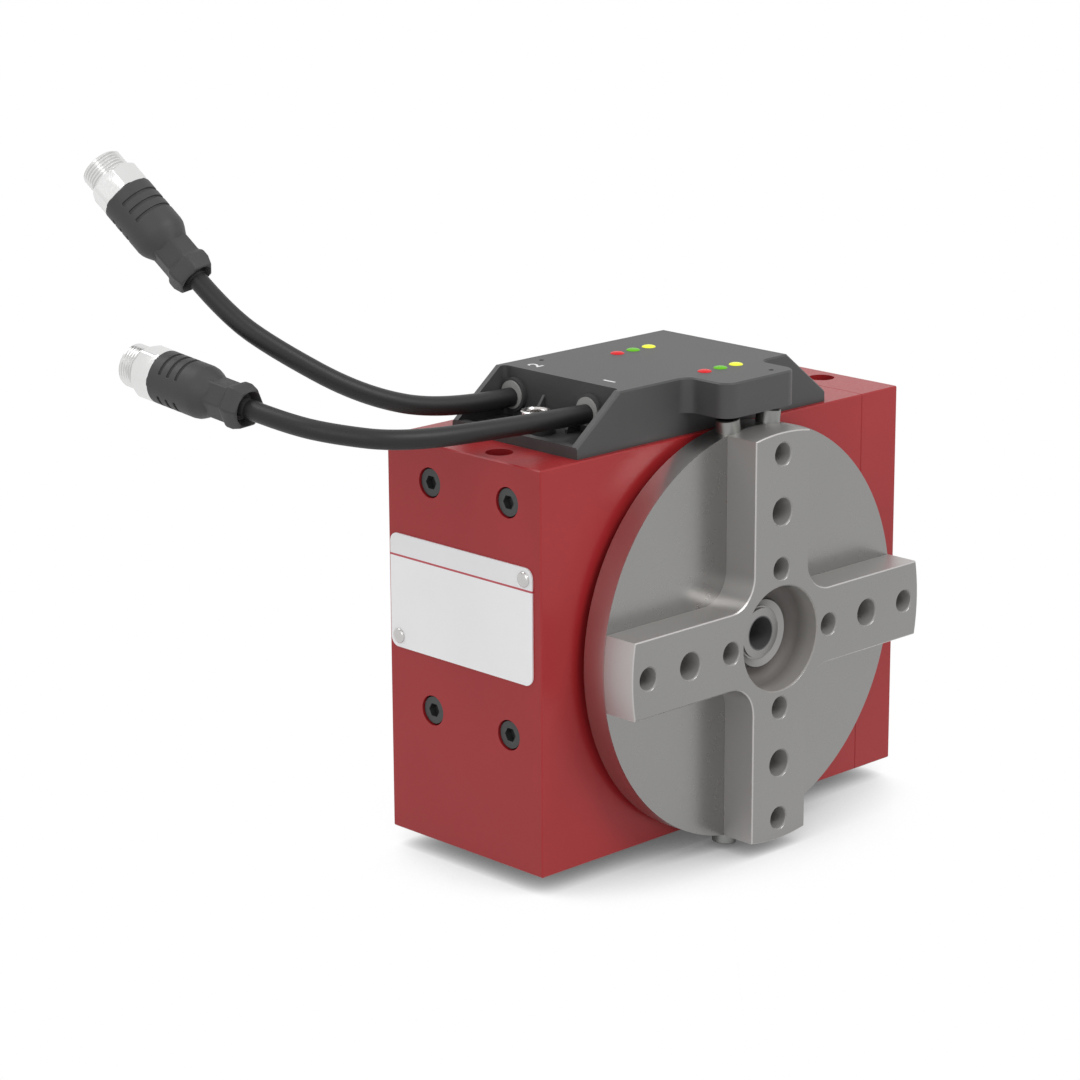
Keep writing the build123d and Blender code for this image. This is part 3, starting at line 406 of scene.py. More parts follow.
thread = one_point("coupling_nut_master", thread_radius - thread_depth, thread_foot)
crest = (0, crest_run)
for outward, along in (crest, (thread_depth, flank_run), crest, (-thread_depth, flank_run), crest):
    bpy.ops.mesh.extrude_region_move(TRANSFORM_OT_translate={"value": (outward, 0, along)})
deselect_all()
winding = thread.modifiers.new("thread", "SCREW")
winding.axis = "Z"
winding.steps = 48
winding.render_steps = 48
winding.screw_offset = thread_pitch
winding.iterations = thread_turns
winding.use_merge_vertices = True
winding.merge_threshold = weld
apply_modifier(thread, winding)
print("thread faces", len(thread.data.polygons), "turns", thread_turns)

# %% Close the thread into a rod
end_turn = 0.31
on_cut = 2e-7
edit(thread)
bpy.ops.mesh.select_all(action="SELECT")
bpy.ops.mesh.remove_doubles(threshold=weld)
rod_low = thread_foot + (1 + end_turn) * thread_pitch
rod_high = thread_foot + (thread_turns - end_turn) * thread_pitch
for cut_height, keeps_above in ((rod_low, True), (rod_high, False)):
    bpy.ops.mesh.select_all(action="SELECT")
    bpy.ops.mesh.bisect(
        plane_co=(0, 0, cut_height), plane_no=(0, 0, 1), clear_inner=keeps_above, clear_outer=not keeps_above
    )
    bpy.ops.mesh.select_all(action="DESELECT")
    select_where(thread, "EDGE", lambda edge: all(abs(end.co.z - cut_height) < on_cut for end in edge.verts))
    bpy.ops.mesh.edge_face_add()
finish_mesh(thread)
print("rod faces", len(thread.data.polygons))

# %% Trim the thread to length with a lead-in
thread_end = nut_start + flange_length + thread_length
envelope_foot = nut_start + flange_length - 0.0008
envelope_radius = thread_radius + beyond
envelope_outline = [(0, envelope_foot), (envelope_radius, envelope_foot), (envelope_radius, thread_end - 0.0015)]
envelope_outline += [(thread_radius - 0.0007, thread_end), (0, thread_end)]
combine(thread, turned("thread_envelope", envelope_outline, steps=64), "INTERSECT")
print("trimmed thread faces", len(thread.data.polygons))

# %% Shape the flange with its six flats
flange_end = nut_start + flange_length
flange_edge = 0.0003
flange_slope = 0.0009
flange_outline = [(0, nut_start), (flange_radius - flange_edge, nut_start)]
flange_outline += [(flange_radius, nut_start + flange_edge), (flange_radius, flange_end - flange_slope)]
flange_outline += [(flange_radius - flange_slope, flange_end), (0, flange_end)]
flange = turned("nut_flange", flange_outline, steps=72)
edit(flange)
for flat in range(6):
    angle = math.radians(60 * flat)
    outward = (math.cos(angle), math.sin(angle), 0)
    bpy.ops.mesh.select_all(action="SELECT")
    bpy.ops.mesh.bisect(
        plane_co=(flange_flat * outward[0], flange_flat * outward[1], nut_start),
        plane_no=outward,
        use_fill=True,
        clear_outer=True,
    )
finish_mesh(flange)
combine(thread, flange, "UNION")

# %% Bore the nut's mouth
bore_outline = [(0, nut_start - beyond), (nut_mouth, nut_start - beyond), (nut_mouth, thread_end - flange_edge)]
bore_outline += [(nut_mouth + flange_edge, thread_end + 0.0001), (0, thread_end + 0.0001)]
combine(thread, turned("nut_bore", bore_outline, steps=64), "DIFFERENCE")
finish_mesh(thread, 30)
print("nut faces", len(thread.data.polygons))

# %% [markdown]
# The plug is modelled upright at the origin, once. Each lead ends in its own copy: the plug's axis is
# turned into the lead's last run, and its X axis stands square to the lead's plane, so the grooves lie
# above and below.

# %% Place a plug on each lead


def plug_matrix(side):
    """Turns the upright master so that its axis runs on from the lead's last two points."""
    before, end = lead_routes[side][-2:]
    along = (end - before).normalized()
    upwards = Vector((0, -math.sin(lead_leans[side]), math.cos(lead_leans[side])))
    turn_back = Matrix((upwards, along.cross(upwards), along)).transposed().to_4x4()
    return Matrix.Translation(end) @ turn_back


plug_grips = {}
coupling_nuts = {}
for side in ("front", "rear"):
    plug_grips[side] = placed(copied(barrel, side + "_plug_body"), plug_matrix(side))
    coupling_nuts[side] = placed(copied(thread, side + "_threaded_nut"), plug_matrix(side))
    print(side, "plug reaches", [round(v, 4) for v in plug_matrix(side) @ Vector((0, 0, thread_end))])
bpy.data.objects.remove(barrel)
bpy.data.objects.remove(thread)

# %% [markdown]
# Clamp screw: a cap head with a knurled side, a polished rim round a dished top and a socket for the key.
# The head is turned in 72 steps. Every second face of its side band is then pushed in a little, which
# leaves the fine upright knurl.

# %% Clamp screw
clamp_low, clamp_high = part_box("clamp_screw")
clamp_centre = (clamp_low + clamp_high) / 2
head_radius = (clamp_high.x - clamp_low.x) / 2
head_height = 0.0050
head_base = clamp_high.z - head_height
knurl_top = clamp_high.z - 0.0014
knurl_ridges = 36
knurl_depth = 0.00018
shank_radius = 0.0025
head_outline = [(0, head_base), (head_radius - 0.0002, head_base), (head_radius, head_base + 0.0002)]
head_outline += [(head_radius, knurl_top), (head_radius, clamp_high.z - 0.0003)]
head_outline += [(head_radius - 0.0003, clamp_high.z), (head_radius - 0.0012, clamp_high.z)]
head_outline += [(head_radius - 0.0015, clamp_high.z - 0.0005), (0, clamp_high.z - 0.0005)]
screw = turned("clamp_screw_head", head_outline, steps=2 * knurl_ridges)


def knurl_face(centre, normal):
    """Every second face of the side band below the polished rim."""
    around = math.floor((math.atan2(centre.y, centre.x) / math.pi + 1) * knurl_ridges)
    return abs(normal.z) < 0.3 and head_base + 0.0003 < centre.z < knurl_top and around % 2 == 0


edit(screw)
ridges = select_faces(screw, knurl_face)
bpy.ops.mesh.extrude_region_shrink_fatten(TRANSFORM_OT_shrink_fatten={"value": -knurl_depth})
finish_mesh(screw)
print("knurl ridges", ridges)

# %% Cut the key socket and add the shank
socket_flat = 0.0020
socket_run = 0.005
socket = hexagon("clamp_socket", socket_flat, socket_run, clamp_high.z)
edit(socket)
select_faces(socket, lambda centre, normal: normal.z < -0.9)
bpy.ops.mesh.extrude_region_move(TRANSFORM_OT_translate={"value": (0, 0, -0.0006)})
bpy.ops.transform.resize(value=(0.2, 0.2, 1), center_override=(0, 0, 0))
finish_mesh(socket)
combine(screw, socket, "DIFFERENCE")
shank_outline = [(0, clamp_low.z), (shank_radius - 0.0005, clamp_low.z), (shank_radius, clamp_low.z + 0.0005)]
shank_outline += [(shank_radius, head_base + 0.0005), (0, head_base + 0.0005)]
combine(screw, turned("clamp_shank", shank_outline, steps=32), "UNION")
soften(screw, 0.00010, segments=1, angle=50)
finish_mesh(screw, 30)
placed(screw, Matrix.Translation((clamp_centre.x, clamp_centre.y, 0)))
print("clamp screw faces", len(screw.data.polygons))

# %% [markdown]
# Nameplate rivets: domed heads with a small flat, held by a shank through the plate.
# A dome could be half of a ball, but a rivet's head is lower and its rim turns under, so it is turned
# from its own outline.

# %% Rivets
rivet_low, rivet_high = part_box("nameplate_rivets")
plate_low, plate_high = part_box("nameplate")
rivet_radius = 0.0024
rivet_rise = plate_low.x - rivet_low.x
rivet_foot = plate_low.x - rivet_high.x
rivet_shank = 0.00125
rivet_edge = 0.00012
rivet_outline = [(0, rivet_foot), (rivet_shank, rivet_foot), (rivet_shank, -0.0003), (0.0019, 0)]
rivet_outline += [(rivet_radius - 0.00008, 0), (rivet_radius, rivet_edge)]
rivet_outline += dome(rivet_radius, rivet_edge, rivet_rise - rivet_edge, 7)
rivet_master = turned("rivet_master", rivet_outline, steps=40)
rivet_places = [
    (rivet_low.y + rivet_radius, rivet_high.z - rivet_radius),
    (rivet_high.y - rivet_radius, rivet_low.z + rivet_radius),
]
outwards = Matrix.Rotation(math.radians(-90), 4, "Y")
rivets = []
for count, (y, z) in enumerate(rivet_places, 1):
    place = Matrix.Translation((plate_low.x, y, z)) @ outwards
    rivets.append(placed(copied(rivet_master, "nameplate_rivet_%d" % count), place))
bpy.data.objects.remove(rivet_master)
print("rivets", len(rivets), "rise", round(rivet_rise * 1000, 2), "mm")

# %% [markdown]
# Target studs: three round pins in the table's rim, which pass under the sensor's nose. The two upper ones
# stand well out of the rim and the lower one less, so each is turned with its own rise.

# %% Target studs
table_radius = 0.065
stud_radius = 0.0038
stud_shank_radius = 0.0029
stud_offset = 0.00875
stud_depth = -0.0083
stud_foot = -0.0062
stud_edge = 0.0003
stud_swing = math.degrees(math.asin(stud_offset / table_radius))
stud_rises = {90 - stud_swing: 0.0042, 90 + stud_swing: 0.0042, 270 - stud_swing: 0.0029}
studs = []
for count, (angle, stud_rise) in enumerate(stud_rises.items(), 1):
    stud_outline = [(0, stud_foot), (stud_shank_radius, stud_foot), (stud_shank_radius, -0.0004)]
    stud_outline += [(stud_radius, -0.0002), (stud_radius, stud_rise - stud_edge)]
    stud_outline += [(stud_radius - stud_edge, stud_rise), (0, stud_rise)]
    stud = turned("target_stud_%d" % count, stud_outline, steps=48)
    tilt = Matrix.Rotation(math.radians(90 - angle), 4, "Y")
    to_rim = Matrix.Translation((0, stud_depth, 0)) @ tilt @ Matrix.Translation((0, 0, table_radius))
    studs.append(placed(stud, to_rim))
print("studs", len(studs))

# %% [markdown]
# Lamp lenses: each status lamp has a low dome, so it shows from the side as well as from above.

# %% Lamp lenses
lens_rise = 0.0006
lenses = {}
for colour_name in ("red", "green", "yellow"):
    lamp_low, lamp_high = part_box(colour_name + "_status_lamps")
    lens_radius = (lamp_high.x - lamp_low.x) / 2
    lens_outline = [(0, lamp_low.z), (lens_radius, lamp_low.z), (lens_radius, lamp_high.z)]
    lens_outline += dome(lens_radius, lamp_high.z, lens_rise, 6)
    lens_master = turned(colour_name + "_lens_master", lens_outline, steps=40)
    lens_x = (lamp_low.x + lamp_high.x) / 2
    lenses[colour_name] = []
    for count, y in enumerate((lamp_low.y + lens_radius, lamp_high.y - lens_radius), 1):
        twin = copied(lens_master, "%s_lens_%d" % (colour_name, count))
        lenses[colour_name].append(placed(twin, Matrix.Translation((lens_x, y, 0))))
    bpy.data.objects.remove(lens_master)
print("lenses", sum(len(pair) for pair in lenses.values()))

# %% [markdown]
# Dished hub: the front of the hub is a shallow cone, and a narrow groove runs between it and the end of
# the shaft. The cut has to run through two parts, the table and the shaft, so each is copied, its doubles
# are merged, and the same turned cutter is taken from both.

# %% Dish the hub and the shaft's end
groove_inner = 0.0079
groove_outer = 0.00856
groove_floor = 0.0137
dish_radius = 0.01084
dish_top = 0.0160
dish_outline = [(groove_inner, groove_floor), (groove_outer, groove_floor), (dish_radius, 0.01462)]
dish_outline += [(dish_radius, dish_top), (groove_inner, dish_top), (groove_inner, groove_floor)]


def dished(node_name, name):
    """Own copy of a part with the hub's cone cut into it."""
    piece = bpy.data.objects.new(name, nodes[node_name].data.copy())
    piece.data.name = name
    bpy.context.scene.collection.objects.link(piece)
    select_only(piece)
    if piece.data.has_custom_normals:
        bpy.ops.mesh.customdata_custom_splitnormals_clear()
    finish_mesh(piece, 30)
    cutter = turned("hub_dish", dish_outline, steps=96)
    combine(piece, placed(cutter, Matrix.Rotation(math.radians(90), 4, "X")), "DIFFERENCE")
    finish_mesh(piece, 30)
    evened = piece.modifiers.new("even_normals", "WEIGHTED_NORMAL")
    evened.keep_sharp = True
    apply_modifier(piece, evened)
    return piece


dished_table = dished("turning_table", "cross_table")
dished_shaft = dished("pinion_shaft", "hollow_pinion_shaft")
print("table faces", len(dished_table.data.polygons), "shaft faces", len(dished_shaft.data.polygons))

# %% [markdown]
# Channel digits: the two inputs of the sensor are numbered 1 and 2 in pale print beside their leads.
# A text curve is turned into a mesh, flattened to a print's thickness and laid on the top face.

# %% Channel digits
sensor_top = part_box("sensor_housing")[1].z
digit_size = 0.0068
digit_weight = 0.00012
digit_relief = 0.00001
digit_places = {"1": (-0.0370, 0.0142), "2": (-0.0370, 0.0462)}
digits = []
for text, (x, y) in digit_places.items():
    deselect_all()
    bpy.ops.object.text_add(location=(0, 0, 0))
    digit = bpy.context.object
    digit.name = "channel_digit_" + text
    digit.data.body = text
    digit.data.size = digit_size
    digit.data.align_x = "CENTER"
    digit.data.align_y = "CENTER"
    digit.data.extrude = digit_relief
    digit.data.offset = digit_weight
    digit.data.resolution_u = 6
    bpy.ops.object.convert(target="MESH")
    digit = bpy.context.object
    digits.append(placed(digit, Matrix.Translation((x, y, sensor_top - digit_relief / 2))))
print("digits", [d.name for d in digits])

# %% [markdown]
# Shared surface effects.
# Real finishes vary a little: paint has a faint orange peel, moulded plastic a fine grain, machined
# steel its tool marks. Two node groups hold these effects, each with its own inputs, so that every
# material takes the same effect with its own values.

# %% Node group: varied finish


def group_input(group, name, kind, value=None):
    """Adds one named input to a node group."""
    socket = group.interface.new_socket(name=name, in_out="INPUT", socket_type="NodeSocket" + kind)
    if value is not None:
        socket.default_value = value


def group_output(group, name, kind):
    """Adds one named output to a node group."""
    group.interface.new_socket(name=name, in_out="OUTPUT", socket_type="NodeSocket" + kind)


def first_node(tree, kind):
    """First node of a kind in a tree."""
    return [node for node in tree.nodes if node.type == kind][0]


def object_place(tree):
    """The place on the object, from a material's own coordinate node."""
    return first_node(tree, "TEX_COORD").outputs["Object"]


def feed(tree, socket, value):
    """Gives an input a value of its own or another node's output."""
    if isinstance(value, bpy.types.NodeSocket):
        tree.links.new(value, socket)
    else:
        socket.default_value = value


def math_node(tree, operation, *inputs):
    """Math node whose inputs are numbers or other nodes' outputs."""
    node = tree.nodes.new("ShaderNodeMath")
    node.operation = operation
    for place, value in enumerate(inputs):
        feed(tree, node.inputs[place], value)
    return node.outputs[0]


def mix_node(tree, kind, factor, start, end):
    """Mix of two colours or two numbers."""
    node = tree.nodes.new("ShaderNodeMix")
    node.data_type = kind
    for key, value in (("Factor", factor), ("A", start), ("B", end)):
        feed(tree, node.inputs[key], value)
    return node.outputs["Result"]


def noise_node(tree, vector, scale, detail):
    """Noise texture on the given vector."""
    node = tree.nodes.new("ShaderNodeTexNoise")
    node.inputs["Detail"].default_value = detail
    tree.links.new(vector, node.inputs["Vector"])
    tree.links.new(scale, node.inputs["Scale"])
    return node.outputs["Fac"]


def vector_parts(tree, vector):
    """The x, y and z of a vector."""
    split = tree.nodes.new("ShaderNodeSeparateXYZ")
    tree.links.new(vector, split.inputs[0])
    return tuple(split.outputs)


def axis_distance(tree, x, z):
    """Distance from the turning axis."""
    squares = math_node(tree, "ADD", math_node(tree, "POWER", x, 2.0), math_node(tree, "POWER", z, 2.0))
    return math_node(tree, "SQRT", squares)


varied_finish = bpy.data.node_groups.new("varied_finish", "ShaderNodeTree")
for name, kind, value in (
    ("Vector", "Vector", None), ("Colour", "Color", (0.5, 0.5, 0.5, 1)), ("Shade", "Color", (0.4, 0.4, 0.4, 1)),
    ("Cloud Scale", "Float", 20.0), ("Grain Scale", "Float", 1500.0),
    ("Roughness Low", "Float", 0.3), ("Roughness High", "Float", 0.4),
):
    group_input(varied_finish, name, kind, value)
for name, kind in (("Colour", "Color"), ("Roughness", "Float"), ("Height", "Float")):
    group_output(varied_finish, name, kind)
inside = varied_finish.nodes.new("NodeGroupInput")
outside = varied_finish.nodes.new("NodeGroupOutput")
cloud = noise_node(varied_finish, inside.outputs["Vector"], inside.outputs["Cloud Scale"], 3.0)
grain = noise_node(varied_finish, inside.outputs["Vector"], inside.outputs["Grain Scale"], 2.0)
spread = varied_finish.nodes.new("ShaderNodeMapRange")
spread.inputs["From Min"].default_value = 0.35
spread.inputs["From Max"].default_value = 0.65
varied_finish.links.new(cloud, spread.inputs["Value"])
share = spread.outputs["Result"]
blend = mix_node(varied_finish, "RGBA", share, inside.outputs["Colour"], inside.outputs["Shade"])
varied_finish.links.new(blend, outside.inputs["Colour"])
gloss = varied_finish.nodes.new("ShaderNodeMapRange")
varied_finish.links.new(grain, gloss.inputs["Value"])
gloss.inputs["From Min"].default_value = 0.3
gloss.inputs["From Max"].default_value = 0.7
varied_finish.links.new(inside.outputs["Roughness Low"], gloss.inputs["To Min"])
varied_finish.links.new(inside.outputs["Roughness High"], gloss.inputs["To Max"])
varied_finish.links.new(gloss.outputs["Result"], outside.inputs["Roughness"])
varied_finish.links.new(grain, outside.inputs["Height"])
print("group", varied_finish.name, "nodes", len(varied_finish.nodes))

# %% Node group: lathe rings round the turning axis
lathe_rings = bpy.data.node_groups.new("lathe_rings", "ShaderNodeTree")
group_input(lathe_rings, "Vector", "Vector")
group_input(lathe_rings, "Rings", "Float", 2600.0)
group_output(lathe_rings, "Height", "Float")
inside = lathe_rings.nodes.new("NodeGroupInput")
outside = lathe_rings.nodes.new("NodeGroupOutput")
x, depth, z = vector_parts(lathe_rings, inside.outputs["Vector"])
reach = axis_distance(lathe_rings, x, z)
ring_place = lathe_rings.nodes.new("ShaderNodeCombineXYZ")
lathe_rings.links.new(reach, ring_place.inputs["X"])
ring_noise = noise_node(lathe_rings, ring_place.outputs[0], inside.outputs["Rings"], 3.0)
lathe_rings.links.new(ring_noise, outside.inputs["Height"])
print("group", lathe_rings.name, "nodes", len(lathe_rings.nodes))

# %% [markdown]
# Materials.
# A material is one Principled shader. Its colour and roughness come from the varied finish, and the
# grain feeds a small bump. Numbers that are the same all over, such as metallic or coat, are set on
# the shader itself.

# %% Material maker


def surface(name, colour, shade, rough, metallic=0.0, cloud=20.0, grain=1500.0, bump=0.00002, **shader_values):
    """Material with a varied finish; rough is its (lowest, highest) roughness."""
    material = bpy.data.materials.new(name)
    material.use_nodes = True
    tree = material.node_tree
    shader = tree.nodes["Principled BSDF"]
    shader.inputs["Metallic"].default_value = metallic
    for socket_name, value in shader_values.items():
        shader.inputs[socket_name.replace("_", " ")].default_value = value
    place = tree.nodes.new("ShaderNodeTexCoord")
    finish = tree.nodes.new("ShaderNodeGroup")
    finish.node_tree = varied_finish
    finish.inputs["Colour"].default_value = (*colour, 1)
    finish.inputs["Shade"].default_value = (*shade, 1)
    finish.inputs["Cloud Scale"].default_value = cloud
    finish.inputs["Grain Scale"].default_value = grain
    finish.inputs["Roughness Low"].default_value = rough[0]
    finish.inputs["Roughness High"].default_value = rough[1]
    relief = tree.nodes.new("ShaderNodeBump")
    relief.inputs["Distance"].default_value = bump
    tree.links.new(place.outputs["Object"], finish.inputs["Vector"])
    tree.links.new(finish.outputs["Colour"], shader.inputs["Base Color"])
    tree.links.new(finish.outputs["Roughness"], shader.inputs["Roughness"])
    tree.links.new(finish.outputs["Height"], relief.inputs["Height"])
    tree.links.new(relief.outputs["Normal"], shader.inputs["Normal"])
    material.diffuse_color = (*colour, 1)
    return material


# %% Painted, moulded and rubber finishes
red_enamel = surface("red_enamel", (0.335, 0.019, 0.022), (0.310, 0.016, 0.019), (0.32, 0.38), grain=900.0,
                     bump=0.000006, Specular_IOR_Level=0.34)
black_moulding = surface("black_moulding", (0.056, 0.056, 0.056), (0.050, 0.050, 0.050), (0.44, 0.52), grain=2400.0,
                         bump=0.00001, Specular_IOR_Level=0.42)
plug_moulding = surface("plug_moulding", (0.041, 0.041, 0.041), (0.035, 0.035, 0.035), (0.50, 0.60), grain=2400.0,
                        bump=0.00001, Specular_IOR_Level=0.45)
cable_jacket = surface("cable_jacket", (0.0135, 0.0135, 0.0135), (0.011, 0.011, 0.011), (0.42, 0.50), grain=1800.0,
                       bump=0.00001, Specular_IOR_Level=0.36)
grey_bush = surface("grey_bush", (0.36, 0.36, 0.35), (0.31, 0.31, 0.30), (0.45, 0.55))
insert_moulding = surface("insert_moulding", (0.035, 0.035, 0.035), (0.03, 0.03, 0.03), (0.45, 0.55))
seal_rubber = surface("seal_rubber", (0.02, 0.02, 0.02), (0.03, 0.03, 0.03), (0.6, 0.75))
amber_elastomer = surface("amber_elastomer", (0.30, 0.14, 0.05), (0.25, 0.11, 0.04), (0.4, 0.5))
brown_guide = surface("brown_guide", (0.12, 0.07, 0.04), (0.10, 0.06, 0.03), (0.5, 0.6))
green_board = surface("green_board", (0.02, 0.16, 0.07), (0.015, 0.12, 0.05), (0.35, 0.45))
pale_print = surface("pale_print", (0.80, 0.80, 0.80), (0.74, 0.74, 0.74), (0.5, 0.6))

# %% Metal finishes
bright_nickel = surface("bright_nickel", (0.78, 0.78, 0.775), (0.68, 0.68, 0.675), (0.18, 0.26), metallic=1.0)
polished_zinc = surface("polished_zinc", (0.62, 0.60, 0.59), (0.52, 0.50, 0.49), (0.18, 0.28), metallic=1.0)
rivet_metal = surface("rivet_metal", (0.60, 0.59, 0.58), (0.50, 0.49, 0.48), (0.20, 0.30), metallic=1.0)
black_oxide = surface("black_oxide", (0.050, 0.052, 0.052), (0.035, 0.036, 0.036), (0.38, 0.46), metallic=0.3)
spring_metal = surface("spring_metal", (0.10, 0.10, 0.105), (0.07, 0.07, 0.075), (0.35, 0.45), metallic=1.0)
ground_steel = surface("ground_steel", (0.52, 0.52, 0.52), (0.44, 0.44, 0.44), (0.18, 0.26), metallic=1.0)
coil_copper = surface("coil_copper", (0.60, 0.26, 0.12), (0.50, 0.20, 0.09), (0.25, 0.35), metallic=1.0)
pin_gold = surface("pin_gold", (0.80, 0.60, 0.25), (0.72, 0.52, 0.20), (0.15, 0.22), metallic=1.0)

# %% [markdown]
# Turned steel: the table and the shaft are faced on a lathe, which leaves fine rings round the turning
# axis. The rings are a second bump on top of the grain, driven by the distance from that axis. The walls
# between the ground faces, the rim, the recess, the hub's cone and the holes each get their own tone,
# and masks built from depth and distance tell them apart. The brighter walls and rim are painted sheen and
# painted reflection, and the darkening inside the recess and the shaft's bore is painted shade.

# %% Turned steel


ring_scale = 2600.0
ring_depth = 0.0000012


def turned_steel(name):
    """Ground grey steel with lathe rings as a bump below its grain."""
    steel = surface(name, (0.290, 0.286, 0.280), (0.280, 0.276, 0.270), (0.27, 0.29), metallic=1.0,
                    cloud=14.0, grain=300.0, bump=0.000001)
    tree = steel.node_tree
    marks = tree.nodes.new("ShaderNodeGroup")
    marks.node_tree = lathe_rings
    marks.inputs["Rings"].default_value = ring_scale
    ring_relief = tree.nodes.new("ShaderNodeBump")
    ring_relief.inputs["Distance"].default_value = ring_depth
    tree.links.new(object_place(tree), marks.inputs["Vector"])
    tree.links.new(marks.outputs["Height"], ring_relief.inputs["Height"])
    tree.links.new(ring_relief.outputs["Normal"], first_node(tree, "BUMP").inputs["Normal"])
    return steel


def both(tree, first, second):
    """Mask where both masks hold."""
    return math_node(tree, "MULTIPLY", first, second)


def between(tree, value, low, high):
    """Mask where a value lies between two numbers."""
    return both(tree, math_node(tree, "GREATER_THAN", value, low), math_node(tree, "LESS_THAN", value, high))


def paint_zone(material, mask, colour, metallic, roughness=0.28):
    """Gives the masked zone its own colour, metallic value and roughness, over what was there."""
    tree = material.node_tree
    shader = tree.nodes["Principled BSDF"]
    for socket_name, kind, value in (
        ("Base Color", "RGBA", (*colour, 1)), ("Metallic", "FLOAT", metallic), ("Roughness", "FLOAT", roughness),
    ):
        socket = shader.inputs[socket_name]
        before = socket.links[0].from_socket if socket.links else socket.default_value
        tree.links.new(mix_node(tree, kind, mask, before, value), socket)


table_steel = turned_steel("table_steel")
shaft_steel = turned_steel("shaft_steel")
stud_steel = surface("stud_steel", (0.26, 0.265, 0.255), (0.23, 0.235, 0.225), (0.32, 0.40), metallic=1.0)

# %% Zones of the table: walls and rim, painted brighter
arm_face = -0.02295
disc_face = -0.01095
disc_back = -0.00265
face_band = 0.00006
rim_start = 0.0645

tree = table_steel.node_tree
x, depth, z = vector_parts(tree, object_place(tree))
reach = axis_distance(tree, x, z)
walls = 1.0
for face_depth in (arm_face, disc_face, disc_back):
    distance = math_node(tree, "ABSOLUTE", math_node(tree, "SUBTRACT", depth, face_depth))
    walls = both(tree, math_node(tree, "GREATER_THAN", distance, face_band), walls)
behind_disc_face = math_node(tree, "GREATER_THAN", depth, disc_face + 0.00015)
rim = both(tree, math_node(tree, "GREATER_THAN", reach, rim_start), behind_disc_face)
# The walls are the same steel as the faces, painted brighter: a painted sheen on the arm sides, the arm ends and
# the corner between the arms.
paint_zone(table_steel, walls, (0.48, 0.466, 0.456), 0.8, 0.40)
# The rim is the same steel too, painted brighter so that its reflection of the housing shows stronger: a painted
# reflection.
paint_zone(table_steel, rim, (0.62, 0.60, 0.59), 1.0)

# %% Zones of the table: the recess, with painted shade deepening inwards, and the hub's cone
recess_band = (0.01110, 0.0172)
cone_band = (0.0080, 0.0112)
cone_start = -0.0149
painted_shade_start = 0.0195
painted_shade_per_metre = 150.0

behind_arm_face = math_node(tree, "GREATER_THAN", depth, arm_face + face_band / 2)
recess = both(tree, between(tree, reach, *recess_band), behind_arm_face)
painted_shade_inwards = math_node(tree, "MULTIPLY", math_node(tree, "ADD", depth, painted_shade_start), painted_shade_per_metre)
painted_shade_inwards = math_node(tree, "MINIMUM", math_node(tree, "MAXIMUM", painted_shade_inwards, 0.0), 1.0)
hub_cone = both(tree, between(tree, reach, *cone_band), math_node(tree, "GREATER_THAN", depth, cone_start))
paint_zone(table_steel, recess, (0.285, 0.272, 0.260), 0.0, 0.6)
# Deeper into the recess the colour is painted darker: painted shade in its floor and corner, where the steel itself
# is no darker.
paint_zone(table_steel, both(tree, recess, painted_shade_inwards), (0.150, 0.138, 0.130), 0.0, 0.6)
paint_zone(table_steel, hub_cone, (0.29, 0.286, 0.280), 1.0, 0.34)

# %% Zones of the table and the shaft: holes, and painted shade in the shaft's bore
hole_row = (0.0176, 0.0625)
hole_row_half = 0.0046
bore_reach = 0.0055

along_arm = math_node(tree, "MAXIMUM", math_node(tree, "ABSOLUTE", x), math_node(tree, "ABSOLUTE", z))
across_arm = math_node(tree, "MINIMUM", math_node(tree, "ABSOLUTE", x), math_node(tree, "ABSOLUTE", z))
in_row = both(tree, between(tree, along_arm, *hole_row), math_node(tree, "LESS_THAN", across_arm, hole_row_half))
paint_zone(table_steel, both(tree, in_row, walls), (0.29, 0.282, 0.275), 0.0, 0.6)
tree = shaft_steel.node_tree
x, depth, z = vector_parts(tree, object_place(tree))
in_bore = math_node(tree, "LESS_THAN", axis_distance(tree, x, z), bore_reach)
# The bore is painted dark grey, darker than its steel: painted shade inside the hole.
paint_zone(shaft_steel, in_bore, (0.10, 0.10, 0.102), 0.0, 0.6)
print("metal finishes done")

# %% [markdown]
# Lens material: coloured windows, lit a little from below. They are plain plastic with a low
# emission, which keeps their colour readable from every side.

# %% Lens material


def lens(name, colour, glow):
    """Coloured lens with a low glow."""
    material = surface(name, colour, tuple(0.85 * part for part in colour), (0.25, 0.32), bump=0.000003,
                       Specular_IOR_Level=0.08)
    shader = material.node_tree.nodes["Principled BSDF"]
    shader.inputs["Emission Color"].default_value = (*colour, 1)
    shader.inputs["Emission Strength"].default_value = glow
    return material


red_lens = lens("red_lens", (0.60, 0.022, 0.026), 0.25)
green_lens = lens("green_lens", (0.12, 0.42, 0.018), 0.25)
yellow_lens = lens("yellow_lens", (0.76, 0.80, 0.06), 0.30)

# %% [markdown]
# Nameplate: satin aluminium with a thin red rule that parts a bare header from the bare field.
# The rule is a colour that depends on the height on the plate, which is sharper than any texture and
# needs no image.

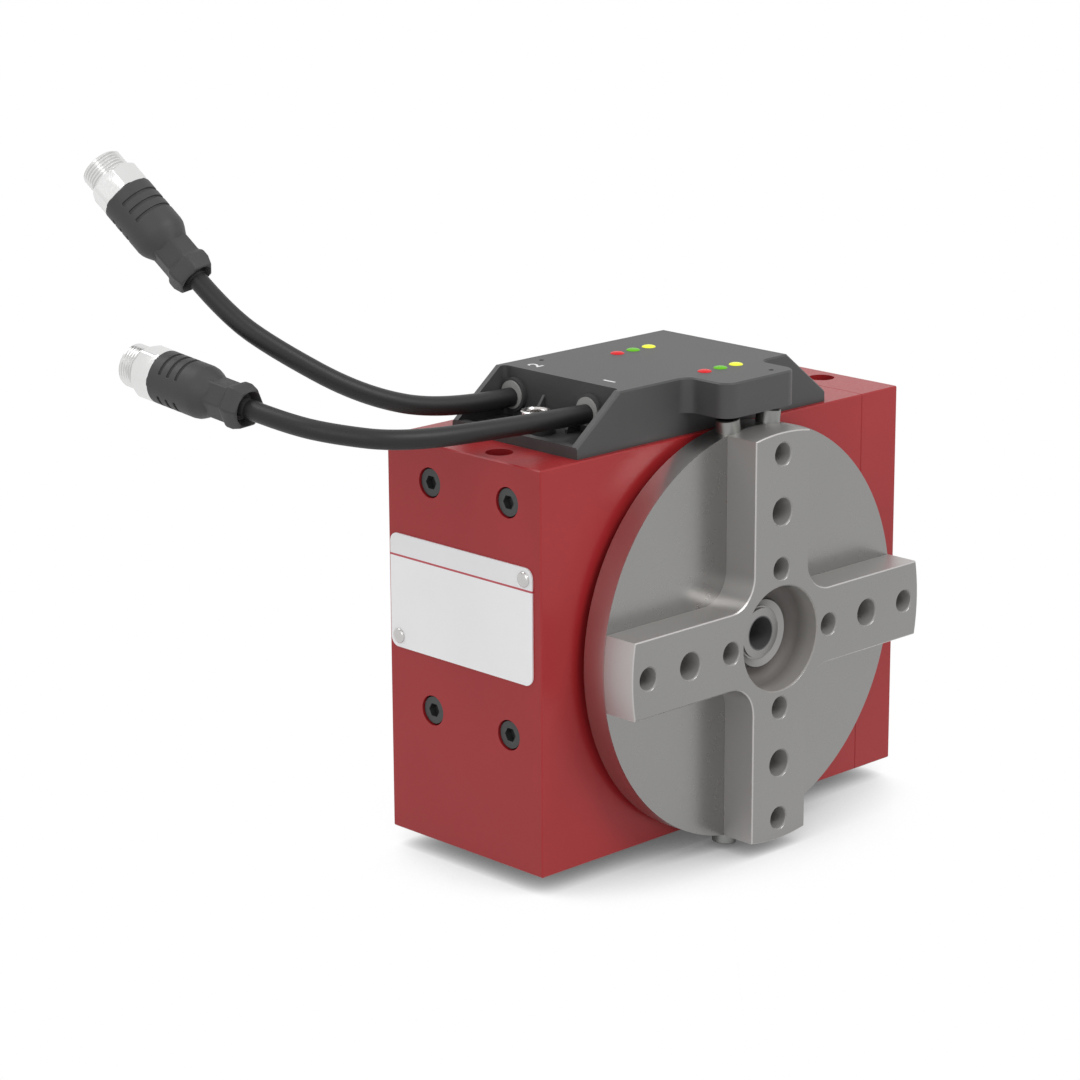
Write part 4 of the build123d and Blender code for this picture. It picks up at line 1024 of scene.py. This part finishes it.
# %% Nameplate finish
rule_height = 0.0258
rule_half = 0.00032
plate_finish = surface("plate_finish", (0.86, 0.86, 0.87), (0.83, 0.83, 0.84), (0.32, 0.40), bump=0.000004)
tree = plate_finish.node_tree
height = vector_parts(tree, object_place(tree))[2]
in_header = math_node(tree, "GREATER_THAN", height, rule_height)
from_rule = math_node(tree, "ABSOLUTE", math_node(tree, "SUBTRACT", height, rule_height))
on_rule = math_node(tree, "LESS_THAN", from_rule, rule_half)
satin = first_node(tree, "GROUP").outputs["Colour"]
with_header = mix_node(tree, "RGBA", in_header, satin, (0.79, 0.79, 0.80, 1))
with_rule = mix_node(tree, "RGBA", on_rule, with_header, (0.46, 0.05, 0.07, 1))
tree.links.new(with_rule, tree.nodes["Principled BSDF"].inputs["Base Color"])

# %% [markdown]
# Each part that shows as it is gets its finish. Its mesh stays, so only its material slots change. The
# modelled pieces get theirs after that, with the body they ride on and the part they stand for.

# %% Give the parts their finishes
finishes = {
    "housing_body": red_enamel, "end_cover": red_enamel, "cover_seal_ring": seal_rubber,
    "tie_screws": black_oxide, "nameplate": plate_finish, "shaft_key": ground_steel, "shaft_circlip": spring_metal,
    "rack_piston": ground_steel, "piston_seals": seal_rubber, "piston_guide_rings": brown_guide,
    "end_bumpers": amber_elastomer, "sensor_housing": black_moulding, "sensor_base_plate": black_moulding,
    "circuit_boards": green_board, "sensing_coils": coil_copper,
}
twin_finishes = {
    "bearing_outer_ring": ground_steel, "bearing_inner_ring": ground_steel, "bearing_balls": ground_steel,
    "bearing_circlip": spring_metal, "cable_collar": grey_bush,
    "contact_insert": insert_moulding, "contact_pins": pin_gold,
}
for kind, material in twin_finishes.items():
    for side in ("front", "rear"):
        finishes[side + "_" + kind] = material


def give(piece, material):
    """Makes a material the only one of a piece."""
    piece.data.materials.clear()
    piece.data.materials.append(material)


for node_name, material in finishes.items():
    give(nodes[node_name], material)
print("finished parts", len(finishes))

# %% Finish and attach the modelled pieces
for side in ("front", "rear"):
    give(leads[side], cable_jacket)
    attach(leads[side], "housing")
    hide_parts(side + "_lead")
    give(plug_grips[side], plug_moulding)
    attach(plug_grips[side], "housing")
    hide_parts(side + "_plug_grip")
    give(coupling_nuts[side], bright_nickel)
    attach(coupling_nuts[side], side + "_nut")
    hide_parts(side + "_coupling_nut")

give(screw, polished_zinc)
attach(screw, "housing")
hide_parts("clamp_screw")
for rivet in rivets:
    give(rivet, rivet_metal)
    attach(rivet, "housing")
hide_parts("nameplate_rivets")
for digit in digits:
    give(digit, pale_print)
    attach(digit, "housing")

for stud in studs:
    give(stud, stud_steel)
    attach(stud, "table")
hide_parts("target_studs")
for colour_name, material in (("red", red_lens), ("green", green_lens), ("yellow", yellow_lens)):
    for lens_piece in lenses[colour_name]:
        give(lens_piece, material)
        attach(lens_piece, "housing")
    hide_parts(colour_name + "_status_lamps")
for piece, node_name, material, slot_name in (
    (dished_table, "turning_table", table_steel, "table_steel"),
    (dished_shaft, "pinion_shaft", shaft_steel, "shaft_steel"),
):
    give(piece, material)
    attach(piece, "table")
    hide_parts(node_name)

# %% [markdown]
# Floor: a white studio floor at the lowest point of the object.
# It shows white wherever the sky above it is open, and darkens only where the object covers most of that
# sky, so the contact shadow is soft, tight and without a tint, and the floor runs into the white
# background without an edge. The share of open sky comes from the Ambient Occlusion node. Light that
# bounces off the floor onto the object sees a plain pale floor.

# %% Floor


def choose_for_rays(tree, lighting, seen, output):
    """One shader lights the object, another shows to the camera, in mirrors and through glass."""
    rays = tree.nodes.new("ShaderNodeLightPath")
    shown = math_node(tree, "MAXIMUM", rays.outputs["Is Camera Ray"], rays.outputs["Is Glossy Ray"])
    shown = math_node(tree, "MAXIMUM", shown, rays.outputs["Is Transmission Ray"])
    choose = tree.nodes.new("ShaderNodeMixShader")
    tree.links.new(shown, choose.inputs[0])
    tree.links.new(lighting.outputs[0], choose.inputs[1])
    tree.links.new(seen.outputs[0], choose.inputs[2])
    tree.links.new(choose.outputs[0], output.inputs["Surface"])


open_share_of_white = 0.63
darkest_shadow = 0.07
deselect_all()
bpy.ops.mesh.primitive_plane_add(size=12.0, location=(0, 0, frame_box[0].z))
floor = named("studio_floor")
floor_paint = bpy.data.materials.new("floor_paint")
floor_paint.use_nodes = True
tree = floor_paint.node_tree
tree.nodes.clear()
output = tree.nodes.new("ShaderNodeOutputMaterial")
open_sky = tree.nodes.new("ShaderNodeAmbientOcclusion")
open_sky.samples = 24
open_sky.inputs["Distance"].default_value = 1.0
floor_level = tree.nodes.new("ShaderNodeMapRange")
floor_level.inputs["From Max"].default_value = open_share_of_white
floor_level.inputs["To Min"].default_value = darkest_shadow
tree.links.new(open_sky.outputs["AO"], floor_level.inputs["Value"])
seen = tree.nodes.new("ShaderNodeEmission")
tree.links.new(floor_level.outputs["Result"], seen.inputs["Strength"])
plain = tree.nodes.new("ShaderNodeBsdfDiffuse")
plain.inputs["Color"].default_value = (0.80, 0.80, 0.80, 1)
choose_for_rays(tree, plain, seen, output)
give(floor, floor_paint)

# %% [markdown]
# Light: a white room with three soft lamps.
# The room gives the even level of a studio sweep. The lamp above and behind lights the top faces, the
# one at the left gives the left face its level, and the one above the front puts the bright sheen into
# the corner between the arms, where disc and wall mirror it together.

# %% Room light
world = bpy.data.worlds.new("studio_room")
bpy.context.scene.world = world
world.use_nodes = True
tree = world.node_tree
background = tree.nodes["Background"]
room = tree.nodes.new("ShaderNodeBackground")
room.inputs["Color"].default_value = (1, 1, 1, 1)
room.inputs["Strength"].default_value = 0.60
background.inputs["Color"].default_value = (1, 1, 1, 1)
background.inputs["Strength"].default_value = 1.0
choose_for_rays(tree, room, background, tree.nodes["World Output"])

# %% Soft lamps


def soft_lamp(name, place, size, power):
    """Square area lamp that looks at the origin."""
    data = bpy.data.lights.new(name, "AREA")
    data.shape = "SQUARE"
    data.size = size
    data.energy = power
    lamp = bpy.data.objects.new(name, data)
    bpy.context.scene.collection.objects.link(lamp)
    place = Vector(place)
    turn = (-place).to_track_quat("-Z", "Y").to_matrix().to_4x4()
    lamp.matrix_world = Matrix.Translation(place) @ turn


soft_lamp("lamp_above", (-0.35, 0.75, 1.10), size=0.55, power=3.5)
soft_lamp("lamp_left", (-1.30, -0.50, 0.70), size=0.9, power=4.0)
soft_lamp("lamp_front", (0.13, -0.78, 0.90), size=0.52, power=5.6)

# %% Picture settings
bpy.context.scene.view_settings.view_transform = "Standard"
